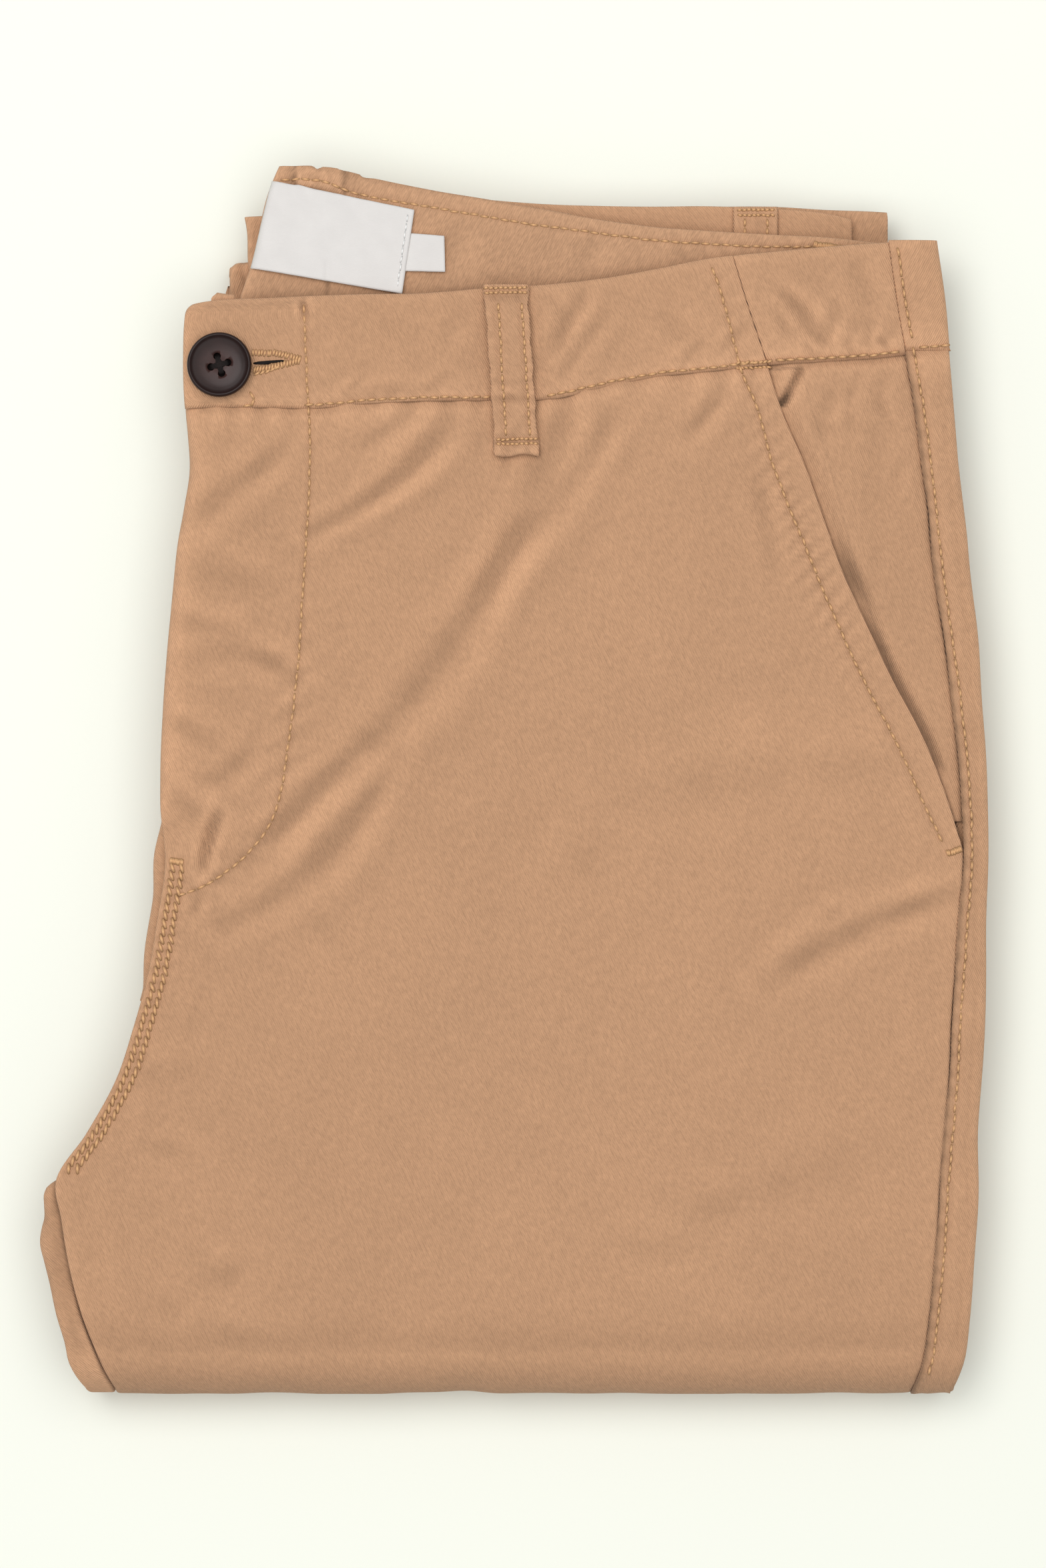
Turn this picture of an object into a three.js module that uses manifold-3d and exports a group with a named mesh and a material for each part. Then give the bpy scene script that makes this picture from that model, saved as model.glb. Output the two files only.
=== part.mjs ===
import * as THREE from "three";
import * as BufferGeometryUtils from "three/addons/utils/BufferGeometryUtils.js";
import Module from "manifold-3d";

// Chino trousers, folded lengthwise with the left front uppermost and the legs folded up behind.
// Millimetres: +X to the wearer's-left side seam, +Y towards the waist, +Z up from the surface.

// Driving sizes of the folded pile
const PILE_TOP = 24.6;
const BOTTOM_FOLD_Y = -175.2;
const FOLD_DEPTH_Y = 10;
const UNDERSIDE_END_Y = 145;
const END_FOLD_RADIUS = 3.7;
const CLOTH_WALL = 1.45;
const SEAM_GAP = 0.4;
const BAND_WALL = 2.6;
const BAND_TOP_Z = 25.2;
const FOLD_CENTRE_Y = BOTTOM_FOLD_Y + FOLD_DEPTH_Y;
const HALF_PILE = PILE_TOP / 2;

// Button
const BUTTON_RADIUS = 9.2;
const BUTTON_HOLE_RADIUS = 1.05;
const BUTTON_HOLE_OFFSET = 2.1;
const BUTTON_CENTRE = { x: -83.6, y: 117.8 };

// Side outlines of the pile from above, a row for each height along the leg.
// frontLeft is the front panel's left edge, right the pile's right edge, seam the side seam.
const SIDES = [
  { y: -175.2, frontLeft: -114.0, right: 126.4, seam: 114.4 },
  { y: -165.7, frontLeft: -118.0, right: 129.2, seam: 117.0 },
  { y: -154.3, frontLeft: -122.6, right: 130.5, seam: 118.6 },
  { y: -139.1, frontLeft: -126.7, right: 131.9, seam: 120.1 },
  { y: -125.8, frontLeft: -128.9, right: 132.6, seam: 121.1 },
  { y: -114.4, frontLeft: -130.4, right: 133.0, seam: 121.7 },
  { y: -101.1, frontLeft: -121.8, right: 133.2, seam: 122.9 },
  { y: -85.9, frontLeft: -113.4, right: 133.8, seam: 124.2 },
  { y: -70.7, frontLeft: -108.3, right: 134.7, seam: 124.9 },
  { y: -55.5, frontLeft: -104.2, right: 135.2, seam: 126.0 },
  { y: -40.3, frontLeft: -101.6, right: 135.5, seam: 127.1 },
  { y: -25.1, frontLeft: -99.4, right: 135.7, seam: 128.3 },
  { y: -6.1, frontLeft: -100.8, right: 135.7, seam: 127.9 },
  { y: 24.3, frontLeft: -99.9, right: 134.0, seam: 124.9 },
  { y: 50.9, frontLeft: -97.6, right: 131.7, seam: 121.2 },
  { y: 77.5, frontLeft: -94.1, right: 128.6, seam: 118.1 },
  { y: 105.6, frontLeft: -93.7, right: 126.1, seam: 114.6 },
  { y: 119.3, frontLeft: -94.2, right: 124.8, seam: 112.2 },
  { y: 135.9, frontLeft: -93.1, right: 123.4, seam: 109.3 },
  { y: 154.3, frontLeft: -86.8, right: 120.8, seam: 106.8 },
];

// Slant pocket opening, which the front panel and the waistband share as their right edge.
const POCKET_EDGE = [
  { y: 148.6, x: 62.7 },
  { y: 136.0, x: 66.5 },
  { y: 118.8, x: 72.2 },
  { y: 104.1, x: 77.0 },
  { y: 90.8, x: 82.7 },
  { y: 74.7, x: 88.4 },
  { y: 58.5, x: 94.2 },
  { y: 44.3, x: 100.7 },
  { y: 28.1, x: 108.3 },
  { y: 13.9, x: 115.9 },
  { y: -2.3, x: 122.6 },
  { y: -19.4, x: 128.0 },
];
const POCKET_END_Y = -19.4;

// Waist lines from left to right: seam under the waistband, its top edge, and the layers behind it.
const WAIST = [
  { x: -94.0, seam: 105.6, bandTop: 133.6, insideTop: 175.4, backTop: 169.0, frontTop: 160.0 },
  { x: -86.8, seam: 105.9, bandTop: 135.9, insideTop: 175.4, backTop: 169.0, frontTop: 161.2 },
  { x: -70.3, seam: 105.8, bandTop: 137.2, insideTop: 175.4, backTop: 169.0, frontTop: 162.3 },
  { x: -58.9, seam: 105.6, bandTop: 137.8, insideTop: 174.8, backTop: 169.2, frontTop: 163.0 },
  { x: -43.7, seam: 107.0, bandTop: 138.3, insideTop: 171.6, backTop: 169.4, frontTop: 163.4 },
  { x: -28.5, seam: 107.7, bandTop: 138.5, insideTop: 168.7, backTop: 168.8, frontTop: 163.8 },
  { x: -9.5, seam: 107.9, bandTop: 140.0, insideTop: 165.7, backTop: 166.6, frontTop: 164.0 },
  { x: 9.5, seam: 108.4, bandTop: 141.2, insideTop: 162.5, backTop: 165.1, frontTop: 164.2 },
  { x: 24.7, seam: 111.7, bandTop: 142.9, insideTop: 159.9, backTop: 164.6, frontTop: 164.4 },
  { x: 39.9, seam: 114.6, bandTop: 145.5, insideTop: 158.0, backTop: 164.4, frontTop: 164.6 },
  { x: 55.1, seam: 116.2, bandTop: 148.4, insideTop: 156.9, backTop: 164.5, frontTop: 164.8 },
  { x: 74.1, seam: 118.2, bandTop: 150.4, insideTop: 155.8, backTop: 163.8, frontTop: 164.9 },
  { x: 89.3, seam: 119.1, bandTop: 151.8, insideTop: 155.0, backTop: 162.5, frontTop: 164.0 },
  { x: 107.4, seam: 120.4, bandTop: 153.1, insideTop: 153.1, backTop: 158.0, frontTop: 163.2 },
  { x: 124.8, seam: 123.0, bandTop: 154.3, insideTop: 152.0, backTop: 154.0, frontTop: 161.0 },
];

// Largest folds of the front, each a curve through three places with its half width and depth.
const FOLDS = [
  { x1: 14.3, y1: 108, x2: -8, y2: 58, x3: -43, y3: 9, width: 5.0, depth: 1.6 },
  { x1: -43, y1: 9, x2: -62, y2: -9, x3: -79, y3: -27, width: 4.5, depth: 1.3 },
  { x1: -34, y1: 9, x2: -56, y2: -22.8, x3: -83, y3: -42, width: 4.0, depth: 1.0 },
  { x1: -17.3, y1: 103, x2: -34, y2: 85, x3: -60, y3: 71, width: 3.6, depth: 1.1 },
  { x1: 29.8, y1: 110, x2: 17, y2: 86, x3: 1.3, y3: 67, width: 4.2, depth: 0.7 },
  { x1: -66.5, y1: 94, x2: -80, y2: 83, x3: -93, y3: 74, width: 3.6, depth: 0.9 },
  { x1: -96, y1: 32, x2: -80, y2: 37, x3: -63, y3: 30, width: 4.5, depth: 0.8 },
  { x1: 72, y1: -59, x2: 95, y2: -43, x3: 120, y3: -36, width: 4.5, depth: 1.1 },
  { x1: 32, y1: -6, x2: 70, y2: 0, x3: 106, y3: 3, width: 7.5, depth: 0.7 },
  { x1: 44, y1: -126, x2: 72, y2: -118, x3: 101, y3: -107, width: 7.5, depth: 0.7 },
  { x1: -90, y1: -161, x2: -74, y2: -159, x3: -62, y3: -162, width: 6.0, depth: 0.7 },
  { x1: 59.9, y1: 112, x2: 55, y2: 105, x3: 49, y3: 99, width: 3.6, depth: 0.7 },
];

const FABRIC = { color: 0xc09470, roughness: 0.9, metalness: 0 };
const FACING_FABRIC = { color: 0xb88c69, roughness: 0.92, metalness: 0 };
const LABEL_FABRIC = { color: 0xece5e2, roughness: 0.7, metalness: 0 };
const BUTTON_PLASTIC = { color: 0x3a2a22, roughness: 0.35, metalness: 0 };

const trousers = new THREE.Group();

// Value of one named column at a place, smoothly between rows that rise or fall along the key.
function column(table, key, name, place) {
  const rows = table[0][key] < table[table.length - 1][key] ? table : [...table].reverse();
  let index = rows.findIndex((row) => row[key] > place);
  if (index === 0) return rows[0][name];
  if (index < 0) return rows[rows.length - 1][name];
  const before = rows[index - 1];
  const after = rows[index];
  const part = (place - before[key]) / (after[key] - before[key]);
  const outer = rows[Math.max(index - 2, 0)];
  const beyond = rows[Math.min(index + 1, rows.length - 1)];
  const slopeIn = (after[name] - outer[name]) / (after[key] - outer[key] || 1);
  const slopeOut = (beyond[name] - before[name]) / (beyond[key] - before[key] || 1);
  const span = after[key] - before[key];
  const square = part * part;
  const cube = square * part;
  return (2 * cube - 3 * square + 1) * before[name]
    + (cube - 2 * square + part) * span * slopeIn
    + (3 * square - 2 * cube) * after[name]
    + (cube - square) * span * slopeOut;
}

const frontLeftX = (y) => column(SIDES, "y", "frontLeft", y);
const pileRightX = (y) => column(SIDES, "y", "right", y);
const sideSeamX = (y) => column(SIDES, "y", "seam", y);
const pocketX = (y) => column(POCKET_EDGE, "y", "x", y);
const waistLine = (name, x) => column(WAIST, "x", name, x);
const mix = (from, to, part) => from + (to - from) * part;
const clamp01 = (value) => Math.min(Math.max(value, 0), 1);
const smooth = (value) => {
  const part = clamp01(value);
  return part * part * (3 - 2 * part);
};

// Height that the folds add at a place: a soft trough with a lower ridge on its lower-right side.
const FOLD_STEPS = 10;
function foldHeight(x, y) {
  let height = 0;
  for (const fold of FOLDS) {
    let nearest = Infinity;
    let side = 1;
    let along = 0;
    for (let step = 0; step <= FOLD_STEPS; step += 1) {
      const part = step / FOLD_STEPS;
      const a = (1 - part) * (1 - part);
      const b = 2 * part * (1 - part);
      const c = part * part;
      const viaX = 2 * fold.x2 - (fold.x1 + fold.x3) / 2;
      const viaY = 2 * fold.y2 - (fold.y1 + fold.y3) / 2;
      const dx = x - (a * fold.x1 + b * viaX + c * fold.x3);
      const dy = y - (a * fold.y1 + b * viaY + c * fold.y3);
      const distance = Math.hypot(dx, dy);
      if (distance < nearest) {
        nearest = distance;
        side = Math.sign(dx * (fold.y1 - fold.y3) + dy * (fold.x3 - fold.x1)) || 1;
        along = part;
      }
    }
    const fade = Math.sin(Math.PI * mix(0.12, 0.88, along));
    const trough = Math.exp(-((nearest / fold.width) ** 2));
    const ridge = Math.exp(-(((side * nearest - 1.7 * fold.width) / fold.width) ** 2));
    height += fade * fold.depth * (0.45 * ridge - trough);
  }
  return height;
}

// The way round the pile: 0 to 1 down the top, 1 to 2 round the bottom fold, 2 to 3 along the
// underside, and 3 to 4 round the small fold at the waist end, where the leg turns back inside.
function aroundPile(travel, startY) {
  if (travel <= 1) {
    return { y: mix(startY, FOLD_CENTRE_Y, travel), z: PILE_TOP, ny: 0, nz: 1 };
  }
  if (travel <= 2) {
    const angle = (travel - 1) * Math.PI;
    const ny = -Math.sin(angle) / FOLD_DEPTH_Y;
    const nz = Math.cos(angle) / HALF_PILE;
    const length = Math.hypot(ny, nz);
    return {
      y: FOLD_CENTRE_Y - FOLD_DEPTH_Y * Math.sin(angle),
      z: HALF_PILE + HALF_PILE * Math.cos(angle),
      ny: ny / length,
      nz: nz / length,
    };
  }
  if (travel <= 3) {
    return { y: mix(FOLD_CENTRE_Y, UNDERSIDE_END_Y, travel - 2), z: 0, ny: 0, nz: -1 };
  }
  const turn = (travel - 3) * Math.PI;
  return {
    y: UNDERSIDE_END_Y + END_FOLD_RADIUS * Math.sin(turn),
    z: END_FOLD_RADIUS * (1 - Math.cos(turn)),
    ny: Math.sin(turn),
    nz: -Math.cos(turn),
  };
}

// Sinks a point below the pile's skin by drop, against the skin's own direction.
function onPile(x, travel, startY, drop) {
  const place = aroundPile(travel, startY);
  return new THREE.Vector3(x, place.y - drop * place.ny, place.z - drop * place.nz);
}

// The lower leg narrows on the underside; these move its two edges inwards along the way round.
const UNDERSIDE_NARROWING = { right: 9, left: 36 };
const underRun = (travel) => clamp01(travel - 2);
const narrowRight = (travel) => UNDERSIDE_NARROWING.right * underRun(travel);
const narrowLeft = (travel) => UNDERSIDE_NARROWING.left * underRun(travel) ** 0.7;

// Closed wall from a grid of outer points, with its inner face moved in along the surface normals.
function clothWall(columns, rows, outerPoint, thickness) {
  const width = columns + 1;
  const grid = [];
  for (let row = 0; row <= rows; row += 1) {
    for (let col = 0; col <= columns; col += 1) {
      grid.push(outerPoint(col, row));
    }
  }
  const at = (col, row) => grid[row * width + col];
  const inner = [];
  const across = new THREE.Vector3();
  const along = new THREE.Vector3();
  for (let row = 0; row <= rows; row += 1) {
    for (let col = 0; col <= columns; col += 1) {
      across.subVectors(at(Math.min(col + 1, columns), row), at(Math.max(col - 1, 0), row));
      along.subVectors(at(col, Math.min(row + 1, rows)), at(col, Math.max(row - 1, 0)));
      const normal = across.clone().cross(along).normalize();
      inner.push(at(col, row).clone().addScaledVector(normal, thickness));
    }
  }
  const points = grid.concat(inner);
  const shift = grid.length;
  const index = [];
  const quad = (a, b, c, d) => index.push(a, b, c, a, c, d);
  for (let row = 0; row < rows; row += 1) {
    for (let col = 0; col < columns; col += 1) {
      const a = row * width + col;
      quad(a, a + width, a + width + 1, a + 1);
      quad(shift + a, shift + a + 1, shift + a + width + 1, shift + a + width);
    }
    const left = row * width;
    const right = left + columns;
    quad(left, shift + left, shift + left + width, left + width);
    quad(right, right + width, shift + right + width, shift + right);
  }
  for (let col = 0; col < columns; col += 1) {
    const last = rows * width + col;
    quad(col, col + 1, shift + col + 1, shift + col);
    quad(last, shift + last, shift + last + 1, last + 1);
  }
  return closedGeometry(points, index);
}

// Geometry from points and triangles, turned so that its faces point out.
function closedGeometry(points, index) {
  const geometry = new THREE.BufferGeometry();
  geometry.setAttribute("position", new THREE.Float32BufferAttribute(points.flatMap((p) => [p.x, p.y, p.z]), 3));
  let volume = 0;
  for (let start = 0; start < index.length; start += 3) {
    const [a, b, c] = [points[index[start]], points[index[start + 1]], points[index[start + 2]]];
    volume += a.dot(b.clone().cross(c));
  }
  geometry.setIndex(volume > 0 ? index : [...index].reverse());
  geometry.computeVertexNormals();
  return geometry;
}

function addPiece(name, geometry, finish) {
  const mesh = new THREE.Mesh(geometry, new THREE.MeshStandardMaterial(finish));
  mesh.name = name;
  trousers.add(mesh);
}

// Columns with a few close ones at a rolled edge, then even ones.
const EDGE_STEPS = [0, 0.7, 2.2, 5];
function columnX(left, right, col, columns) {
  if (col < EDGE_STEPS.length) return left + EDGE_STEPS[col];
  const first = left + EDGE_STEPS[EDGE_STEPS.length - 1];
  return mix(first, right, (col - EDGE_STEPS.length + 1) / (columns - EDGE_STEPS.length + 1));
}

// Quarter round that lets an edge fall by fall over reach.
function rolledEdge(distance, reach, fall) {
  const part = clamp01(1 - distance / reach);
  return fall * (1 - Math.sqrt(1 - part * part));
}

// Left front panel, from the waist seam round the bottom fold to the underside
const FRONT_COLUMNS = 29;
const FRONT_TOP_ROWS = 31;
const FRONT_BEND_ROWS = 8;
const FRONT_UNDER_ROWS = 5;
const FRONT_END_ROWS = 5;
const EDGE_REACH = 5;
const FLY_EDGE_FALL = 3.4;
const LEG_EDGE_FALL = 1.0;
const FRONT_EDGE_DIP = 0.45;

function frontRightX(y) {
  const seam = sideSeamX(y) - SEAM_GAP;
  return y > POCKET_END_Y ? Math.min(pocketX(y), seam) : seam;
}

// Travel round the pile at a row, where each stretch has its own number of rows.
function travelAt(row, stretches) {
  let first = 0;
  for (let stretch = 0; stretch < stretches.length; stretch += 1) {
    if (row <= first + stretches[stretch]) return stretch + (row - first) / stretches[stretch];
    first += stretches[stretch];
  }
  return stretches.length;
}

const totalRows = (stretches) => stretches.reduce((sum, count) => sum + count, 0);

function frontPanel() {
  const stretches = [FRONT_TOP_ROWS, FRONT_BEND_ROWS, FRONT_UNDER_ROWS, FRONT_END_ROWS];
  const outer = (col, row) => {
    const travel = travelAt(row, stretches);
    const atSeamX = columnX(-93.7, pocketX(118), col, FRONT_COLUMNS);
    const startY = waistLine("seam", atSeamX) - SEAM_GAP;
    const y = travel <= 1 ? aroundPile(travel, startY).y : Math.min(aroundPile(travel, startY).y, FOLD_CENTRE_Y);
    const left = frontLeftX(y) + narrowLeft(travel);
    const right = frontRightX(y) - narrowRight(travel);
    const x = columnX(left, right, col, FRONT_COLUMNS);
    const fall = mix(LEG_EDGE_FALL, FLY_EDGE_FALL, smooth((y + 12) / 14));
    let drop = rolledEdge(x - left, EDGE_REACH, travel > 1 ? LEG_EDGE_FALL : fall);
    drop += FRONT_EDGE_DIP * smooth(1 - (right - x) / 7);
    if (travel <= 1) drop -= foldHeight(x, y) * smooth((y - FOLD_CENTRE_Y) / 8);
    return onPile(x, travel, startY, drop);
  };
  return clothWall(FRONT_COLUMNS, totalRows(stretches), outer, CLOTH_WALL);
}

// Back panel beside the side seam: out to the right edge, round it and a little way back under
const WRAP_REACH = 3.6;
const WRAP_FALL = 5.0;
const WRAP_RETURN = 9;
const WRAP_ARC_STEPS = 7;

// Place along the wrapped section: how far in from the right edge, and how far below the skin.
function wrapSection(step, seamDistance, fall) {
  if (step === 0) return { inward: seamDistance, drop: 0.4 };
  if (step === 1) return { inward: mix(WRAP_REACH, seamDistance, 0.5), drop: 0.05 };
  const arcStep = step - 2;
  if (arcStep <= WRAP_ARC_STEPS) {
    const angle = (arcStep / WRAP_ARC_STEPS) * Math.PI;
    return { inward: WRAP_REACH * (1 - Math.sin(angle)), drop: (fall / 2) * (1 - Math.cos(angle)) };
  }
  return { inward: WRAP_RETURN, drop: fall };
}
const WRAP_COLUMNS = WRAP_ARC_STEPS + 3;

function backPanelAtSideSeam() {
  const stretches = [20, 8, 3];
  const outer = (col, row) => {
    const travel = travelAt(row, stretches);
    const startY = waistLine("seam", 120) - SEAM_GAP;
    const y = Math.min(aroundPile(travel, startY).y, travel > 1 ? FOLD_CENTRE_Y : startY);
    const right = pileRightX(y) - narrowRight(travel);
    const seam = sideSeamX(y) - narrowRight(travel);
    const place = wrapSection(col, right - seam, WRAP_FALL);
    return onPile(right - place.inward, travel, startY, place.drop);
  };
  return clothWall(WRAP_COLUMNS, totalRows(stretches), outer, CLOTH_WALL - 0.15);
}

// Layers just under the front panel's left edge: right front sliver and back panel at the inseam
const UNDER_DROP = 2.9;
const UNDER_WALL = 1.3;
const INSEAM_BULGE = [
  { y: -175.2, out: 7.6 },
  { y: -168.0, out: 8.6 },
  { y: -154.3, out: 7.4 },
  { y: -139.1, out: 8.2 },
  { y: -125.8, out: 6.2 },
  { y: -116.0, out: 2.6 },
  { y: -110.0, out: 0.2 },
  { y: -64.0, out: 0.2 },
];

const STRIP_COLUMNS = 6;
const STRIP_WIDTHS = [0, 0.5, 1.5, 3.5, 7, 10, 13];
function inseamStrip() {
  const startY = -64;
  const stretches = [16, 8];
  const outer = (col, row) => {
    const travel = travelAt(row, stretches);
    const y = aroundPile(travel, startY).y;
    const left = frontLeftX(y) - column(INSEAM_BULGE, "y", "out", y);
    const drop = UNDER_DROP + rolledEdge(STRIP_WIDTHS[col], 4, 2.6);
    return onPile(left + STRIP_WIDTHS[col], travel, startY, drop);
  };
  return clothWall(STRIP_COLUMNS, totalRows(stretches), outer, UNDER_WALL);
}

const SLIVER = [
  { y: -60.0, out: 0.8 },
  { y: -51.7, out: 2.4 },
  { y: -34.6, out: 2.7 },
  { y: -22.2, out: 3.6 },
  { y: -12.0, out: 0.4 },
];
function rightFrontSliver() {
  const startY = -12;
  const endY = -63.4;
  const rows = 8;
  const outer = (col, row) => {
    const y = mix(startY, endY, row / rows);
    const left = frontLeftX(y) - column(SLIVER, "y", "out", y);
    const drop = UNDER_DROP + 0.6 + rolledEdge(STRIP_WIDTHS[col], 4, 2.6);
    return new THREE.Vector3(left + STRIP_WIDTHS[col], y, PILE_TOP - drop);
  };
  return clothWall(STRIP_COLUMNS, rows, outer, UNDER_WALL);
}

// Facing behind the slant pocket, from the side seam in under the front panel
const FACING_DROP = 2.2;
const FACING_UNDERLAP = 9;
function pocketFacing() {
  const columns = 8;
  const rows = 16;
  const outer = (col, row) => {
    const part = row / rows;
    const y = mix(waistLine("seam", mix(70, 112, col / columns)) - 2 * SEAM_GAP, -12, part);
    const left = Math.min(pocketX(y) - FACING_UNDERLAP, sideSeamX(y) - 14);
    const right = sideSeamX(y) - SEAM_GAP;
    const x = mix(left, right, col / columns);
    const showing = smooth((x - pocketX(y) - 2.5) / 5) * smooth((y - 10) / 20);
    const hollow = 0.35 * Math.exp(-(((x - 102.6) / 4) ** 2)) * smooth((y - 40) / 30);
    return new THREE.Vector3(x, y, PILE_TOP - FACING_DROP - hollow + 0.9 * showing);
  };
  return clothWall(columns, rows, outer, 1.2);
}

// Waistband stretches: a flat double band with rolled top edge and end
function bandStretch(leftX, rightX, topName, columns, rows, options) {
  const outer = (col, row) => {
    const part = col / columns;
    const up = 1 - row / rows;
    const bottom = options.bottomY(part);
    const topX = mix(leftX(150), rightX(150), part);
    const top = waistLine(topName, topX);
    const eased = 1 - (1 - up) ** 1.6;
    const y = mix(bottom, top, eased);
    const x = mix(leftX(y), rightX(y), part);
    const edge = rolledEdge(top - y, options.reach, options.fall);
    return new THREE.Vector3(x, y, options.height(x, y, top) - edge);
  };
  return clothWall(columns, rows, outer, options.wall);
}

const BAND_EDGE = { reach: 3, fall: 1.4, wall: BAND_WALL };
const BAND_CREASE = { x: 16.5, y: 132, width: 3.4, depth: 0.6 };
function bandHeight(x, y) {
  const crease = x - BAND_CREASE.x - (y - BAND_CREASE.y) * 0.45;
  const soft = 0.25 * Math.sin(x / 17) * Math.cos(y / 11);
  return BAND_TOP_Z + soft - BAND_CREASE.depth * Math.exp(-((crease / BAND_CREASE.width) ** 2));
}

function frontBand() {
  const left = (y) => Math.min(frontLeftX(y), -92.6) + 5 * smooth((y - 129) / 9) ** 3;
  return bandStretch(left, (y) => pocketX(y) - SEAM_GAP, "bandTop", 24, 7, {
    ...BAND_EDGE,
    bottomY: (part) => waistLine("seam", mix(-94, 72, part)),
    height: (x, y) => bandHeight(x, y) - rolledEdge(x + 94, 3, 1.2),
  });
}

function sideBand() {
  return bandStretch((y) => pocketX(y), (y) => sideSeamX(y) - SEAM_GAP, "bandTop", 7, 6, {
    ...BAND_EDGE,
    bottomY: (part) => waistLine("seam", mix(72, 112, part)),
    height: bandHeight,
  });
}

function backBand() {
  const rows = 6;
  const outer = (col, row) => {
    const bottom = waistLine("seam", 120);
    const top = waistLine("bandTop", 116);
    const y = mix(bottom, top, 1 - (row / rows) ** 1.6);
    const right = pileRightX(y);
    const place = wrapSection(col, right - sideSeamX(y), 5.6);
    const edge = rolledEdge(top - y, 3, 0.9);
    const squeeze = place.drop > 2.8 ? -edge : edge;
    return new THREE.Vector3(right - place.inward, y, BAND_TOP_Z - place.drop - squeeze);
  };
  return clothWall(WRAP_COLUMNS, rows, outer, 1.5);
}

// Layers behind the front waistband, each falling a little towards its free top edge
const layerBottom = (leftX, rightX) => (part) => waistLine("seam", mix(leftX, rightX, part)) + 1.6;
const INSIDE_LEFT = [
  { y: 113, x: -79 },
  { y: 140, x: -77.5 },
  { y: 146, x: -75.4 },
  { y: 170, x: -69.4 },
  { y: 175.4, x: -67.1 },
];
const RIGHT_FRONT_LEFT = [
  { y: 105, x: -88 },
  { y: 126, x: -88 },
  { y: 133, x: -79 },
  { y: 138, x: -76.4 },
  { y: 159, x: -77.0 },
  { y: 162.5, x: -77.7 },
];

const LAYER_FALL = 0.6;
const insideHeight = (x, y) => 22.0 - 1.8 * smooth((y - waistLine("bandTop", x) + 7) / 7);
function insideBand() {
  const left = (y) => column(INSIDE_LEFT, "y", "x", y);
  return bandStretch(left, () => 107.5, "insideTop", 20, 9, {
    reach: 2.6,
    fall: LAYER_FALL,
    wall: BAND_WALL,
    bottomY: layerBottom(-79, 107.5),
    height: insideHeight,
  });
}

const backHeight = (x, y) => 17.0 - 1.6 * smooth((y - 138) / 12);
function rightBackBand() {
  return bandStretch(() => -54, () => 96.9, "backTop", 16, 6, {
    reach: 2.6,
    fall: LAYER_FALL,
    wall: BAND_WALL - 0.4,
    bottomY: layerBottom(-54, 96.9),
    height: backHeight,
  });
}

function rightFrontBand() {
  const left = (y) => column(RIGHT_FRONT_LEFT, "y", "x", y);
  return bandStretch(left, () => 107.5, "frontTop", 16, 6, {
    reach: 2.6,
    fall: LAYER_FALL,
    wall: BAND_WALL - 0.2,
    bottomY: layerBottom(-88, 107.5),
    height: (x, y) => 12.2 - 0.4 * smooth((y - 148) / 10),
  });
}

// Flat pieces between four corners, laid over a height function
function patch(corners, columns, rows, height, wall) {
  const outer = (col, row) => {
    const across = col / columns;
    const up = 1 - row / rows;
    const x = mix(mix(corners[0][0], corners[1][0], across), mix(corners[3][0], corners[2][0], across), up);
    const y = mix(mix(corners[0][1], corners[1][1], across), mix(corners[3][1], corners[2][1], across), up);
    return new THREE.Vector3(x, y, height(x, y) + wall);
  };
  return clothWall(columns, rows, outer, wall);
}

const onInside = (x, y) => {
  const top = waistLine("insideTop", x);
  return insideHeight(x, y) - rolledEdge(Math.max(top - y, 0), 2.6, LAYER_FALL) + 0.5;
};
const LABEL_CORNERS = [[-73.4, 145.6], [-31.9, 138.9], [-28.6, 162.2], [-68.4, 169.6]];
const SIZE_TAG_CORNERS = [[-31.0, 145.2], [-19.6, 145.0], [-19.8, 155.2], [-29.2, 155.9]];
const FLY_SHIELD_CORNERS = [[-81.6, 116], [-58, 116], [-58, 150], [-82.0, 149.6]];
const FRONT_FACING_CORNERS = [[-87, 118], [-80.2, 118], [-79.6, 138.6], [-86.8, 138.8]];

// Belt loops: a narrow strip over the band, its ends sewn down
function loopStrip(centreX, lean, bottomY, topY, width, height, wall) {
  const half = width / 2;
  const corners = [
    [centreX - half, bottomY],
    [centreX + half, bottomY],
    [centreX + half + lean, topY],
    [centreX - half + lean, topY],
  ];
  return patch(corners, 3, 9, height, wall);
}

const FRONT_LOOP = { x: 1.4, lean: -3.2, bottom: 92.2, top: 140.6, width: 13.6, wall: 1.7 };
function underFrontLoop(x, y) {
  const seam = waistLine("seam", x);
  const onBand = bandHeight(x, y) + 0.75;
  const onPanel = PILE_TOP + Math.max(foldHeight(x, y), -0.4) + 0.75;
  return mix(onPanel, onBand, smooth((y - seam + 4) / 6));
}

// Hidden layers: one rounded solid whose edges and ends are grooved as the folds of the leg layers
const EDGE_LAYERS = 4;
const STEPS_PER_LAYER = 4;
const LAYER_INSETS_RIGHT = [6.5, 3.2, 4.6, 2.4];
const LAYER_INSETS_LEFT = [9.8, 7.8, 9.4, 8.4];
const WAIST_STEP_BELOW = 4;
const WAIST_STEP_ABOVE = 1;
const CORE_TOP = 20.9;
const CORE_EDGE_TOP = 19.1;
const CORE_WAIST_TOP = 5.4;
const CORE_WAIST_EDGE_BOTTOM = 4.2;
const CORE_WAIST_INSET = { right: 20, left: 0 };
const CORE_BOTTOM = 1.9;
const CORE_EDGE_BOTTOM = 5.5;
const CORE_EDGE_ZONE = 11;
const CORE_EDGE_COLUMNS = [0, 12, 26];
const CORE_BODY_ROWS = 13;
const CORE_END_Y = 144.5;
const CORE_START_Y = -168.2;

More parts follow.
